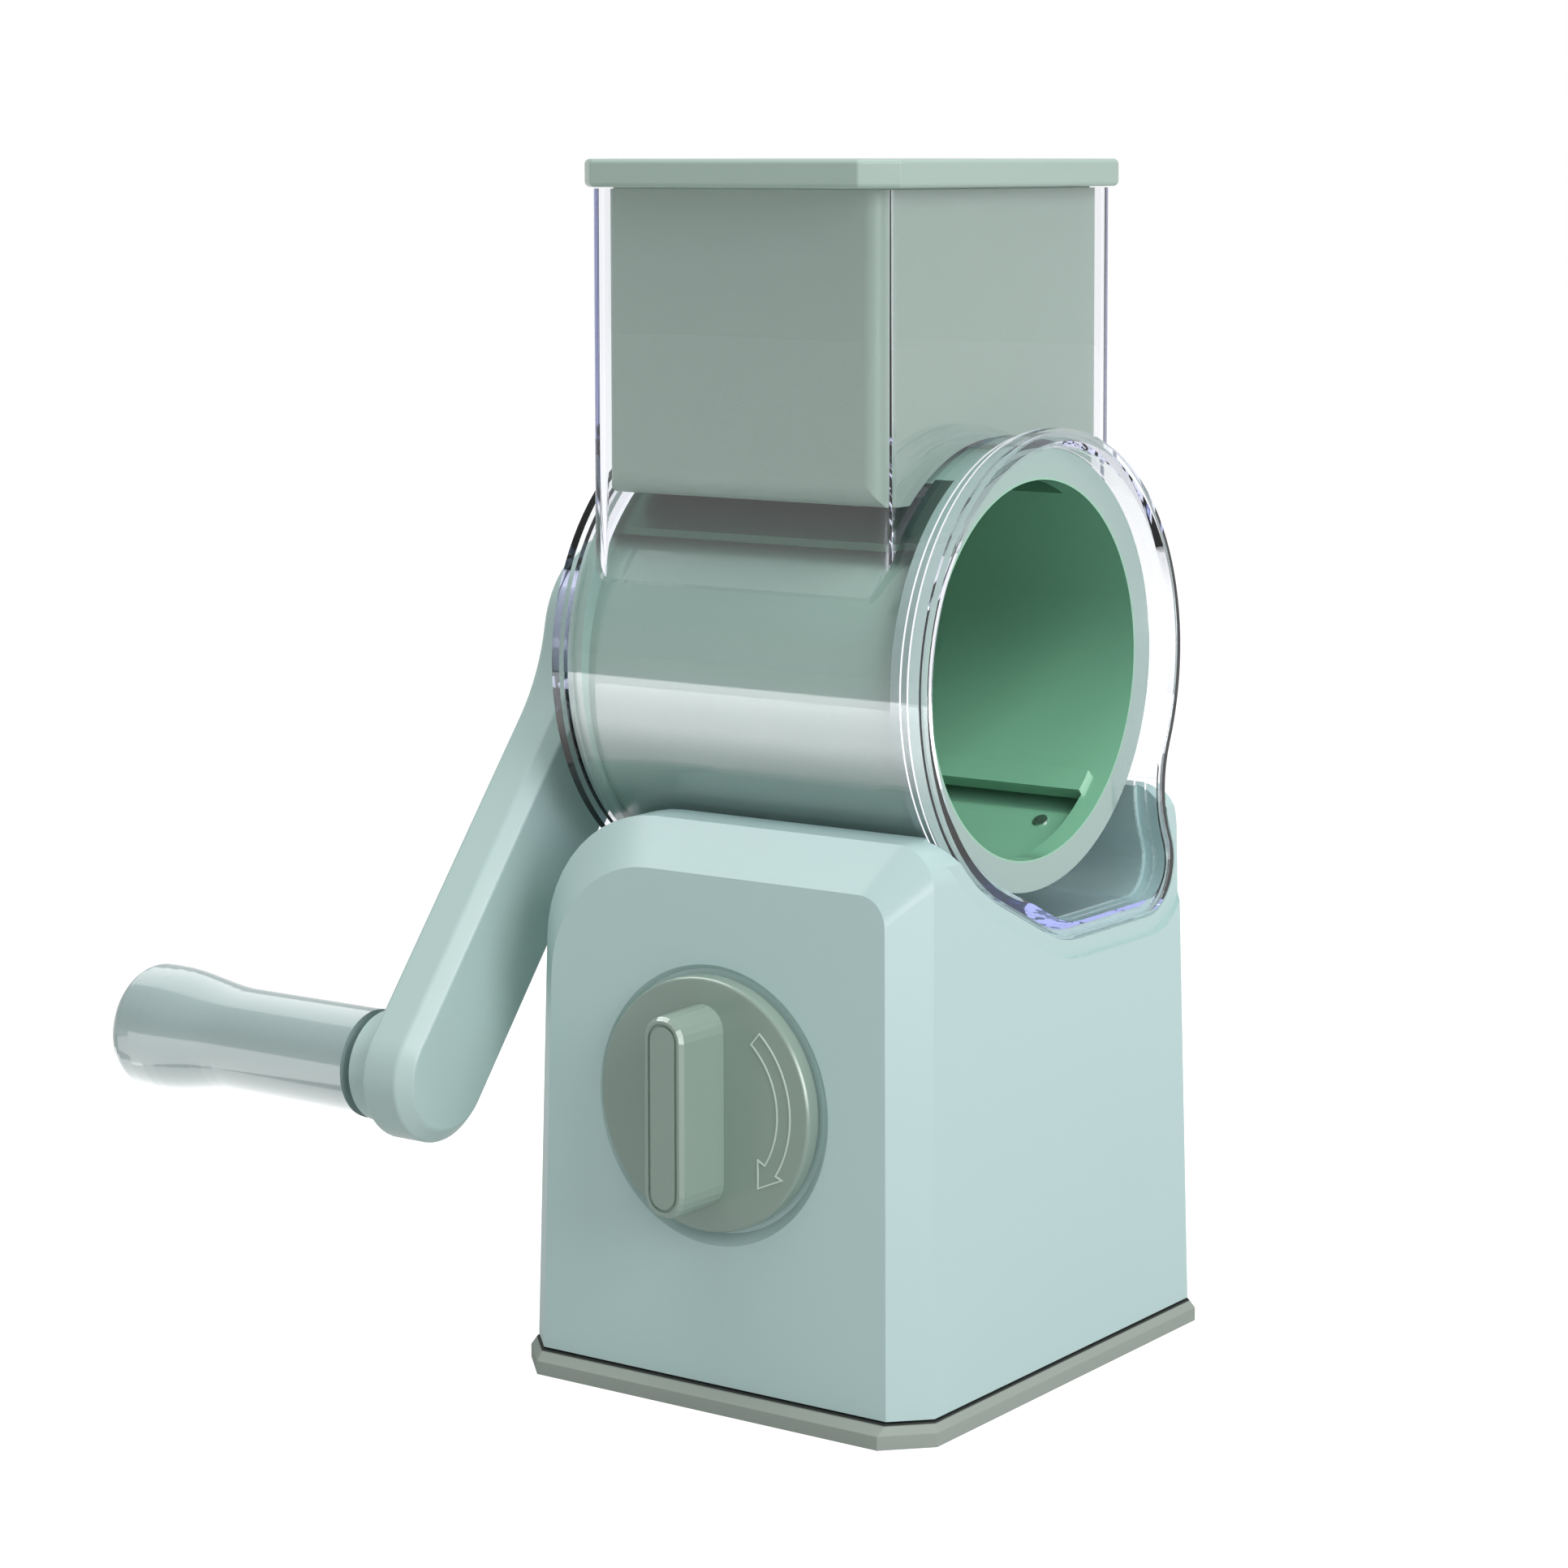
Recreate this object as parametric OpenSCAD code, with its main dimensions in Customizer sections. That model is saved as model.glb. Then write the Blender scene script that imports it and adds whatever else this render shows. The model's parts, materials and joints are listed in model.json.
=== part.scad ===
// Rotary vegetable slicer with a clear drum housing, a hand crank and a suction base.
// Origin: centre of the foot's underside. +Z is up, X runs along the drum with its mouth at +X.
// The suction knob is on the front, which faces -Y. Angles round the drum count up from +Y.

/* [Body] */
// Width of the body along the drum, at its bottom
body_x = 105.2; // [102:0.2:112]
// Depth of the body from front to back, at its bottom
body_y = 119.4; // [116:0.2:130]
// Height of the horns that hold the drum housing
body_top = 124; // [120:0.5:130]
// Wall thickness of the moulded body
body_wall = 2.5; // [1.8:0.1:3]
// Width of the flat cut along the upright corners
body_corner = 7.3; // [4:0.1:9]
// Height of the sloping band over the front and back panels
body_brow = 9.8; // [7:0.1:12]
// Radius of the shoulder on the crank side
shoulder_crank_r = 30; // [24:0.5:34]
// Radius of the shoulder on the mouth side
shoulder_mouth_r = 9; // [7:0.5:12]
// Lean of the two side walls, in degrees
side_draft = 1; // [0:0.1:1.5]
// Lean of the front and back walls, in degrees
front_draft = 1.2; // [0.5:0.1:1.6]

/* [Foot] */
// Width of the rubber foot along the drum
foot_x = 108; // [106:0.5:116]
// Depth of the rubber foot from front to back
foot_y = 125; // [122:0.5:134]
// Height of the rubber foot's rim
foot_h = 5; // [4.6:0.1:6]
// Height of the rim's upright band, below its bevel
foot_band = 3; // [2:0.1:3.4]
// Width of the flat cut across the foot's corners
foot_corner = 9; // [6:0.1:11]
// Open seam between the foot and the body
foot_seam = 0.4; // [0.2:0.05:0.6]
// Thickness of the suction membrane
membrane = 2.8; // [2:0.1:3.2]

/* [Drum] */
// Height of the drum axis above the table
axis_z = 155; // [153:0.5:160]
// Outer radius of the drum's end rings
drum_r = 48.1; // [46:0.1:48.2]
// Gap between the drum and the housing's back wall
drum_back_gap = 0.6; // [0.4:0.1:1]
// Length of the drum between its end faces
drum_len = 89.2; // [84:0.2:92]
// Width of the front ring
ring_w = 5; // [4:0.1:7]
// Radius of the opening in the front ring
mouth_r = 41.2; // [40:0.1:42]
// Thickness of the plain wall between the end rings
drum_wall = 2.5; // [2.2:0.1:3]
// Depth of a slice, from the blade down to the ramp
slice_depth = 3; // [2:0.1:3.4]
// Angle of the first blade's edge
blade_angle = 143; // [120:1:160]
// Blade thickness
blade_t = 0.7; // [0.5:0.05:0.9]

/* [Clear housing] */
// Inner radius of the clear tube
tube_r = 48.5; // [48.3:0.1:49.2]
// Wall thickness of the clear tube
tube_wall = 2; // [1.5:0.1:2.4]
// How far the front flange stands out from the tube
flange_lip = 2; // [1.6:0.1:2.5]
// Back face of the clear housing, behind the drum's middle
tube_back = 48; // [47:0.1:49]
// Front face of the clear housing, ahead of the drum's middle
tube_front = 50; // [49:0.1:51]
// Width of the front flange
flange_w = 7; // [6:0.1:8]
// Depth of the trough's floor below the drum axis, at the flange
trough_drop = 59.4; // [57:0.1:60]
// Reach of the trough behind the drum axis, at the flange
trough_reach = 49.9; // [48:0.1:51]
// Radius of the trough's back corner
trough_corner_r = 11.6; // [9:0.1:12]
// Radius of the waist between the trough and the tube
waist_r = 25; // [20:0.5:30]
// Outer width of the feed chute along the drum
chute_x = 78; // [74:0.5:80]
// Outer depth of the feed chute
chute_y = 94; // [88:0.5:96]
// How far the chute's middle lies towards the crank
chute_shift = 3.4; // [2.5:0.1:4]
// Wall thickness of the chute
chute_wall = 2.4; // [1.8:0.1:2.6]
// Radius of the chute's upright corners
chute_corner_r = 5.4; // [4:0.1:7]

/* [Pusher] */
// Overall height, up to the top of the lid
top_z = 265; // [255:0.5:275]
// Width of the lid along the drum
lid_x = 83; // [81:0.5:90]
// Depth of the lid
lid_y = 100; // [97:0.5:108]
// Thickness of the lid
lid_h = 6.1; // [5:0.1:8]
// Width of the flat cut across the lid's corners
lid_corner = 6.5; // [4:0.1:9]
// Gap between the pusher and the chute's inner walls, on each side
pusher_gap = 1.3; // [0.8:0.1:2]
// Height of the pusher's flat lower edge above the drum axis
pusher_rise = 37.5; // [35:0.5:45]
// Radius of the pusher's lower edges
pusher_edge_r = 5; // [3:0.5:6]
// Wall thickness of the hollow pusher
pusher_wall = 2.2; // [1.6:0.1:2.6]

/* [Crank] */
// Distance from the drum axis to the grip axis
crank_len = 114; // [100:1:118]
// Angle of the resting arm from straight down, towards the front
crank_rest = 38.4; // [20:0.2:60]
// Gap between the housing's back boss and the arm's inner face
arm_gap = 10; // [9:0.1:12]
// Thickness of the arm
arm_t = 13; // [11:0.5:15]
// Radius of the arm's hub
hub_r = 23; // [20:0.5:25]
// Radius of the arm's grip end
arm_end_r = 15; // [13.5:0.5:16]
// Radius of the curve that leads from the hub into the arm
arm_blend_r = 45; // [30:1:60]
// Width of the bevel round the arm's faces
arm_bevel = 3; // [1:0.1:3.6]

/* [Grip] */
// Length of the turning grip
grip_len = 69; // [60:1:76]
// Radius at the grip's waist
grip_waist_r = 11.9; // [10.8:0.1:12.2]
// Radius at the grip's inner end
grip_neck_r = 12; // [11:0.1:12.6]
// Radius at the grip's flared end
grip_flare_r = 14.4; // [13.4:0.1:15.4]
// Radius of the rounded outer edge
grip_edge_r = 3.5; // [2:0.1:4]
// Radius of the steel axle
axle_r = 4; // [3:0.1:4.2]

/* [Knob] */
// Height of the knob's axis above the table
knob_z = 66; // [64:0.5:70]
// Radius of the knob's disc
knob_r = 27.3; // [24:0.1:28]
// Thickness of the disc
knob_disc_t = 4.4; // [3:0.1:5]
// Width of the finger bar
bar_w = 11; // [9:0.1:13]
// Height of the finger bar
bar_h = 43.4; // [36:0.1:45]
// How far the finger bar stands out from the disc
bar_out = 14.1; // [10:0.1:16]
// Lift of the suction post over the knob's quarter turn
post_lift = 4; // [2.5:0.1:4]

/* [Hidden] */

// Facets of round pieces, of small ones and of blended outlines
$fn = 96;
small_fn = 40;
corner_steps = 7;
shoulder_steps = 12;
arc_steps = 8;
blend_steps = 10;
grip_steps = 20;
cam_steps = 18;
arm_steps = 12;
// Overrun of every cut past the face that it opens
over = 1;
// Running clearance of a shaft in its bearing, on the radius
run_fit = 0.06;
// Clearance of a fixed piece in its seat, on each side
seat_fit = 0.05;
// Clearance between moving pieces that don't bear on each other
free_gap = 0.3;
// Quarter of a turn, in radians
quarter_turn = PI / 2;
// Share of a wall by which the edge of a bevel moves when the wall does
bevel_share = sqrt(2) - 1;

// Body
body_z = foot_h + foot_seam;
side_lean = tan(side_draft);
front_lean = tan(front_draft);
panel_mouth_step = 2.5;
panel_crank_step = 4;
panel_mouth_r = shoulder_mouth_r - panel_mouth_step;
panel_crank_r = shoulder_crank_r - panel_crank_step;
side_x = body_x / 2;
side_y = body_y / 2;

// Screws that join the inner frame to the body
screw_inset = 9;
screw_r = 1.45;
screw_bore = 0.1;
screw_head_r = 3.5;
screw_head_h = 2;
screw_len = 14.6;
screw_boss_r = 5.2;
screw_boss_z = 10.2;
screw_boss_h = 24;
gusset_w = 3;
gusset_len = 10;
screw_spots = [for (sx = [-1, 1], sy = [-1, 1]) [sx * (side_x - screw_inset), sy * (side_y - screw_inset)]];

// Inner frame
frame_plate = 2.6;
frame_gap = 0.2;
frame_seat_r = 6.2;
frame_corner = body_corner - body_wall * (1 - bevel_share) + frame_gap;
frame_hole_r = 24;
dome_wall = 2.5;
dome_h = 12.6;
guide_r = 10.5;
guide_top = 34;
rib_count = 6;
rib_w = 2;
rib_h = 5;
rib_reach = 42;

// Foot
foot_lip_w = 4;
foot_lip_gap = 0.15;
pad_boss_r = 16;
pad_boss_h = 9;

// Suction post
post_r = 7;
post_foot_r = 12;
post_foot_h = 2.5;
post_foot_z = 4;
post_fit = 0.1;
yoke_t = 8;
yoke_rim = 4;
yoke_side = 0.8;

// Knob, its seat and its cam
seat_sink = 1.4;
seat_y = side_y - front_lean * (knob_z - body_z) - seat_sink;
seat_ring = 1;
seat_flare_share = 1.2;
seat_cut = 4;
knob_back = 0.3;
knob_edge_r = 0.8;
knob_shaft_r = 7;
knob_boss_r = 9.5;
knob_boss_end = 8;
bar_edge = 0.8;
bar_draft = 0.3;
bar_groove_in = 1.7;
bar_groove_w = 0.7;
bar_groove_d = 0.5;
cam_t = yoke_t + 2 * free_gap;
cam_low = 8;
cam_back_r = 7;
cam_rise = post_lift / quarter_turn;
cam_high = cam_low + post_lift;
tenon_w = 9;
tenon_fit = 0.05;
cam_washer_r = 8;
cam_washer_t = 1.2;

// Clear housing
tube_out_r = tube_r + tube_wall;
flange_r = tube_out_r + flange_lip;
flange_x = tube_front - flange_w;
flange_step = 2.5;
flange_step_lip = 1;
flange_nose = 1.5;
flange_nose_lip = 0.8;
mouth_bevel = 1.3;
rear_rim_w = 2;
rear_rim_lip = 1.5;
back_wall = 2.2;
back_boss_r = 14;
back_boss_h = 4;
saddle_gap = 0.1;
recess_band = 4;
trough_sweep_r = 30;
trough_sweep_y = 9.2;
chute_top = top_z - lid_h - free_gap;

// Drum
drum_x = -tube_back + back_wall + drum_back_gap;
drum_front = drum_x + drum_len;
disc_t = 3;
wall_x = drum_x + disc_t;
ring_x = drum_front - ring_w;
skin_step = 0.7;
skin_r = drum_r - skin_step;
blade_sink = 0.1;
blade_out_r = skin_r - blade_sink;
blade_in_r = blade_out_r - blade_t;
ramp_r = blade_in_r - slice_depth;
blade_span = 24;
lap_span = 16;
lip_span = 9;
ramp_lead = 12;
ramp_span = 100;
rib_span = 8;
wall_span = 180 - ramp_span - lap_span;
lip_t = 1;
ramp_rib = 1.4;
// Offset of the ramp's centre, so that it falls from the blades' height to the foot of the slot
ramp_off = (blade_out_r * blade_out_r - ramp_r * ramp_r) / (2 * (blade_out_r - ramp_r * cos(ramp_span)));
blade_gap = 0.3;
blade_bevel = 1.6;
blade_edge = 0.1;
rivet_r = 1;
rivet_head_r = 1.7;
rivet_head_t = 0.35;
rivet_back = 20;
rivet_fit = 0.05;
rivet_inset = 9;
rivet_count = 3;

// Drive shaft, its bearing and its fastenings
shaft_r = 7;
shaft_grip_len = 7;
bush_r = 10;
bush_flange_r = 12.5;
bush_flange_t = 1.5;
hex_flats = 10;
hex_fit = 0.1;
hex_len = 14;
hub_wall = 2;
drum_hub_r = 10.5;
clip_t = 1;
clip_r = 9.6;
clip_groove = 0.8;
clip_mouth = 9;
clip_room_r = 11;
clip_room = 2.2;
seal_t = 1.2;
seal_r = 9.6;
arm_boss_r = 14;
arm_back_bevel = 1.2;
bolt_r = 1.5;
bolt_head_r = 4.2;
bolt_head_h = 2.3;
bolt_len = 11;
bolt_room_r = 5;
bolt_room = 2.8;
cap_r = 9.5;
cap_t = 1;
bush_end = tube_back + back_boss_h + bush_flange_t;
arm_x = tube_back + back_boss_h + arm_gap;
arm_back = arm_x + arm_t;
shaft_back = arm_x + shaft_grip_len;
shaft_front = drum_x + clip_room - 2 * free_gap;
clip_x = -tube_back + back_wall + free_gap;

// Grip, its axle and its fastenings
axle_grip_len = 9;
collar_len = 6.3;
collar_r = 12.2;
collar_edge = 0.8;
neck_len = 1.7;
neck_r = 8;
grip_x = arm_back + collar_len + neck_len + free_gap;
grip_back = grip_x + grip_len;
grip_start_share = 0.56;
grip_full_share = 0.9;
grip_room_r = 8;
grip_room = 8;
grip_cap_t = 1.8;
axle_washer_r = 6.6;
axle_washer_t = 1.2;
axle_back = grip_back - grip_room + free_gap;

// Pusher and lid
pusher_x = chute_x - 2 * chute_wall - 2 * pusher_gap;
pusher_y = chute_y - 2 * chute_wall - 2 * pusher_gap;
pusher_z = axis_z + pusher_rise;
pusher_corner_r = 3;
pusher_arch_gap = 1.9;
arch_r = drum_r + pusher_arch_gap;
lid_z = top_z - lid_h;
lid_edge = 0.7;
spigot_h = 5;

// Points of an arc round c, from angle a to angle b
function arc(c, r, a, b, n) = [for (i = [0:n]) c + r * [cos(a + (b - a) * i / n), sin(a + (b - a) * i / n)]];
// A list without its first item
function tail(list) = [for (i = [1:len(list) - 1]) list[i]];
// A closed outline that starts k points on
function turned(list, k) = [for (i = [0:len(list) - 1]) list[(i + k) % len(list)]];
// Smooth step from 0 to 1
function ease(v) = let (u = max(0, min(1, v))) u * u * (3 - 2 * u);
// Eight corners of a block with cut corners
function octagon(hx, hy, c) = [[hx - c, -hy], [hx, c - hy], [hx, hy - c], [hx - c, hy],
    [c - hx, hy], [-hx, hy - c], [-hx, c - hy], [c - hx, -hy]];
// A flat outline set at a height
function at_z(list, z) = [for (p = list) [p.x, p.y, z]];

// Outline of the inner frame, inside the body's walls
frame_outline = octagon(side_x - body_wall - frame_gap, side_y - body_wall - frame_gap, frame_corner);

// Outline of the body seen from the front, drawn in by an inset
function body_outline(inset, top, mouth, crank, bottom) =
    let (half = side_x - inset,
         mouth_c = half - side_lean * (top - mouth - body_z) - mouth / cos(side_draft),
         crank_c = half - side_lean * (top - crank - body_z) - crank / cos(side_draft),
         foot = half - side_lean * (bottom - body_z))
    concat([[foot, bottom]],
        arc([mouth_c, top - mouth], mouth, side_draft, 90, shoulder_steps),
        arc([-crank_c, top - crank], crank, 90, 180 - side_draft, shoulder_steps),
        [[-foot, bottom]]);
// The same outline laid on the leaning front or back
function body_ring(outline, depth, side) =
    [for (p = outline) [p.x, side * (side_y - front_lean * (p.y - body_z) - depth), p.y]];

// Outline of the trough under the tube, grown outward by t from the flange's edge
function trough_points(t) =
    let (tube = [0, axis_z],
         sweep = [trough_sweep_y, axis_z - trough_drop + trough_sweep_r],
         corner = [trough_reach - trough_corner_r, axis_z - trough_drop + trough_corner_r],
         rise = tube - sweep,
         touch = atan2(rise.y, rise.x) + acos((trough_sweep_r - flange_r) / norm(rise)),
         span = norm(corner - tube),
         from_tube = flange_r + waist_r,
         from_corner = trough_corner_r + waist_r,
         along = (from_tube * from_tube - from_corner * from_corner + span * span) / (2 * span),
         aside = sqrt(from_tube * from_tube - along * along),
         way = (corner - tube) / span,
         waist = tube + along * way + aside * [-way.y, way.x],
         corner_end = atan2(waist.y - corner.y, waist.x - corner.x),
         waist_end = atan2(waist.y - tube.y, waist.x - tube.x))
    concat([tube, tube + (flange_r + t) * [cos(touch), sin(touch)]],
        arc(sweep, trough_sweep_r + t, touch, 270, arc_steps),
        arc(corner, trough_corner_r + t, 270, 360 + corner_end, 2 * arc_steps),
        tail(arc(waist, waist_r - t, corner_end + 180, waist_end + 180, arc_steps)));

// Outline of the arm, hub at the origin and grip end straight down, drawn in by an inset
function arm_points(inset) =
    let (blend = [arm_end_r + arm_blend_r,
                  -sqrt(pow(hub_r + arm_blend_r, 2) - pow(arm_end_r + arm_blend_r, 2))],
         lead = atan2(blend.y, blend.x),
         right = concat(arc([0, -crank_len], arm_end_r - inset, -90, 0, arm_steps),
             arc(blend, arm_blend_r + inset, 180, 180 + lead, arc_steps),
             tail(arc([0, 0], hub_r - inset, lead, 90, 2 * arm_steps))),
         count = len(right))
    turned(concat(right, [for (i = [count - 2:-1:1]) [-right[i].x, right[i].y]]), arm_steps + arc_steps);

// Outline with round ends, half as wide as r and half as high as h
function stadium(r, h) = concat(arc([0, h - r], r, 0, 180, blend_steps),
    arc([0, r - h], r, 180, 360, blend_steps));

// Grip's radius at a share of its length
function grip_radius(u) = grip_waist_r + (grip_neck_r - grip_waist_r) * (1 - ease(u / grip_start_share))
    + (grip_flare_r - grip_waist_r) * ease((u - grip_start_share) / (grip_full_share - grip_start_share));

// Point of the cam's working edge at an angle from +Z towards -X
function cam_point(a) = let (h = cam_low + cam_rise * a * PI / 180)
    h * [-sin(a), cos(a)] - cam_rise * [cos(a), sin(a)];

// Closed skin through rings with equal numbers of points
module loft(rings) {
    n = len(rings[0]);
    k = len(rings);
    polyhedron(points = [for (ring = rings) each ring],
        faces = concat([[for (i = [0:n - 1]) i]],
            [for (j = [0:k - 2], i = [0:n - 1]) each [
                [j * n + i, (j + 1) * n + i, (j + 1) * n + (i + 1) % n],
                [j * n + i, (j + 1) * n + (i + 1) % n, j * n + (i + 1) % n]]],
            [[for (i = [n - 1:-1:0]) (k - 1) * n + i]]));
}

// Flat outline in Y and Z, drawn out along X from a to b
module along_x(a, b) {
    translate([a, 0, 0])
        rotate([90, 0, 90])
            linear_extrude(height = b - a)
                children();
}

// Round bar along X from a to b
module rod_x(r, a, b) {
    translate([a, 0, 0])
        rotate([0, 90, 0])
            cylinder(h = b - a, r = r);
}

// Round bar along Y from a to b
module rod_y(r, a, b) {
    translate([0, a, 0])
        rotate([-90, 0, 0])
            cylinder(h = b - a, r = r);
}

// Places things on the drum axis
module on_axis() {
    translate([0, 0, axis_z])
        children();
}

// Places things on the crank, with its arm straight down, and turns them to rest
module on_crank() {
    on_axis()
        rotate([-crank_rest, 0, 0])
            children();
}

// Places things on the grip axis
module on_grip() {
    on_crank()
        translate([0, 0, -crank_len])
            children();
}

// Upright block with round corners, over the middle of the chute
module upright_block(x, y, bottom, top, r) {
    translate([-chute_shift, 0, bottom]) {
        translate([-x / 2, r - y / 2, 0])
            cube([x, y - 2 * r, top - bottom]);
        translate([r - x / 2, -y / 2, 0])
            cube([x - 2 * r, y, top - bottom]);
        for (sx = [-1, 1], sy = [-1, 1])
            translate([sx * (x / 2 - r), sy * (y / 2 - r), 0])
                cylinder(h = top - bottom, r = r, $fn = small_fn);
    }
}

// Form of the body, drawn in by a wall
module body_form(wall) {
    corner = body_corner + bevel_share * wall;
    bottom = wall > 0 ? body_z - over : body_z;
    panel = body_outline(corner, body_top - body_brow - bevel_share * wall,
        panel_mouth_r - wall, panel_crank_r - wall, bottom);
    full = body_outline(wall, body_top - wall,
        shoulder_mouth_r - wall, shoulder_crank_r - wall, bottom);
    loft([body_ring(panel, wall, 1), body_ring(full, corner, 1),
        body_ring(full, corner, -1), body_ring(panel, wall, -1)]);
}

// Form of tube and trough together, grown by t from the flange's edge
module housing_form(t, a, b) {
    on_axis()
        rod_x(flange_r + t, a, b);
    along_x(a, b)
        polygon(trough_points(t));
}

// Moulded body with the saddle for the clear housing and the bearing for the knob
module base_housing() {
    color("#a3bcb5")
        difference() {
            body_form(0);
            difference() {
                body_form(body_wall);
                housing_form(saddle_gap + body_wall, -side_x, side_x);
                for (spot = screw_spots)
                    translate([spot.x, spot.y, screw_boss_z]) {
                        cylinder(h = screw_boss_h, r = screw_boss_r, $fn = small_fn);
                        rotate([0, 0, atan2(sign(spot.y), sign(spot.x))])
                            translate([0, -gusset_w / 2, 0])
                                cube([gusset_len, gusset_w, screw_boss_h]);
                    }
                translate([0, 0, knob_z]) {
                    rod_y(knob_r + seat_ring + body_wall, -side_y, body_wall - seat_y);
                    rod_y(knob_boss_r, -side_y, -knob_boss_end);
                }
            }
            housing_form(saddle_gap - flange_lip, -tube_back - saddle_gap, side_x + over);
            housing_form(rear_rim_lip - flange_lip + saddle_gap, -tube_back - saddle_gap,
                rear_rim_w - tube_back + saddle_gap);
            housing_form(saddle_gap, flange_x - saddle_gap, side_x + over);
            housing_form(recess_band, tube_front - free_gap, side_x + over);
            for (spot = screw_spots)
                translate([spot.x, spot.y, screw_boss_z - over])
                    cylinder(h = screw_len, r = screw_r + screw_bore / 2, $fn = small_fn);
            translate([0, 0, knob_z]) {
                rod_y(knob_shaft_r + run_fit, -side_y - over, over - knob_boss_end);
                translate([0, -seat_y, 0])
                    rotate([90, 0, 0])
                        cylinder(h = seat_cut, r1 = knob_r + seat_ring,
                            r2 = knob_r + seat_ring + seat_flare_share * seat_cut);
            }
        }
}

// Inner frame that closes the body and guides the suction post
module inner_frame() {
    top = body_z + dome_h;
    color("#8d9a93")
        difference() {
            union() {
                loft([at_z(frame_outline, body_z), at_z(frame_outline, body_z + frame_plate)]);
                intersection() {
                    loft([at_z(frame_outline, body_z), at_z(frame_outline, screw_boss_z - frame_gap)]);
                    for (spot = screw_spots)
                        translate([spot.x, spot.y, body_z])
                            cylinder(h = screw_boss_z, r = frame_seat_r, $fn = small_fn);
                }
                translate([0, 0, body_z])
                    cylinder(h = dome_h, r = frame_hole_r + dome_wall);
                translate([0, 0, top - dome_wall])
                    cylinder(h = guide_top - top + dome_wall, r = guide_r);
                for (i = [0:rib_count - 1])
                    rotate([0, 0, i * 360 / rib_count])
                        translate([frame_hole_r + dome_wall / 2, -rib_w / 2, body_z + frame_plate / 2])
                            cube([rib_reach - frame_hole_r, rib_w, rib_h + frame_plate / 2]);
            }
            translate([0, 0, body_z - over])
                cylinder(h = dome_h - dome_wall + over, r = frame_hole_r);
            translate([0, 0, body_z])
                cylinder(h = guide_top, r = post_r + run_fit);
            for (spot = screw_spots)
                translate([spot.x, spot.y, body_z - over]) {
                    cylinder(h = screw_boss_z, r = screw_r + 2 * screw_bore, $fn = small_fn);
                    cylinder(h = screw_head_h + screw_bore + over, r = screw_head_r + screw_bore,
                        $fn = small_fn);
                }
        }
}

// Four screws that hold the inner frame in the body
module frame_screws() {
    color("#c9cdd0")
        for (spot = screw_spots)
            translate([spot.x, spot.y, body_z + screw_bore]) {
                cylinder(h = screw_head_h, r = screw_head_r, $fn = small_fn);
                translate([0, 0, screw_head_h - screw_bore])
                    cylinder(h = screw_len - screw_head_h, r = screw_r, $fn = small_fn);
            }
}

// Rubber foot with its rim, its membrane and the boss that holds the post
module suction_pad() {
    rim = octagon(foot_x / 2, foot_y / 2, foot_corner);
    inner = octagon(side_x - body_wall - foot_lip_w, side_y - body_wall - foot_lip_w, frame_corner);
    color("#98a39b")
        difference() {
            union() {
                loft([at_z(rim, 0), at_z(rim, foot_band),
                    at_z(octagon(side_x + frame_gap, side_y + frame_gap, body_corner), foot_h)]);
                loft([at_z(frame_outline, foot_band), at_z(frame_outline, body_z - foot_lip_gap)]);
                cylinder(h = pad_boss_h, r = pad_boss_r);
            }
            difference() {
                loft([at_z(inner, membrane), at_z(inner, body_z + over)]);
                cylinder(h = pad_boss_h, r = pad_boss_r);
            }
            translate([0, 0, post_foot_z - post_fit / 2])
                cylinder(h = post_foot_h + post_fit, r = post_foot_r + post_fit);
            translate([0, 0, post_foot_z])
                cylinder(h = pad_boss_h, r = post_r + post_fit);
        }
}

// Post that draws the membrane up, with the window that the cam turns in
module suction_post() {
    window_x = cam_high + yoke_side;
    window_low = knob_z - cam_back_r - post_lift - over;
    window_top = knob_z + cam_low + free_gap;
    color("#b9bfc0")
        difference() {
            union() {
                translate([0, 0, post_foot_z])
                    cylinder(h = post_foot_h, r = post_foot_r);
                translate([0, 0, post_foot_z])
                    cylinder(h = window_low - post_foot_z - yoke_rim / 2, r = post_r);
                translate([-window_x - yoke_rim, -yoke_t / 2, window_low - yoke_rim])
                    cube([2 * (window_x + yoke_rim), yoke_t, window_top - window_low + 2 * yoke_rim]);
            }
            translate([-window_x, -yoke_t, window_low])
                cube([2 * window_x, 2 * yoke_t, window_top - window_low]);
        }
}

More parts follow.
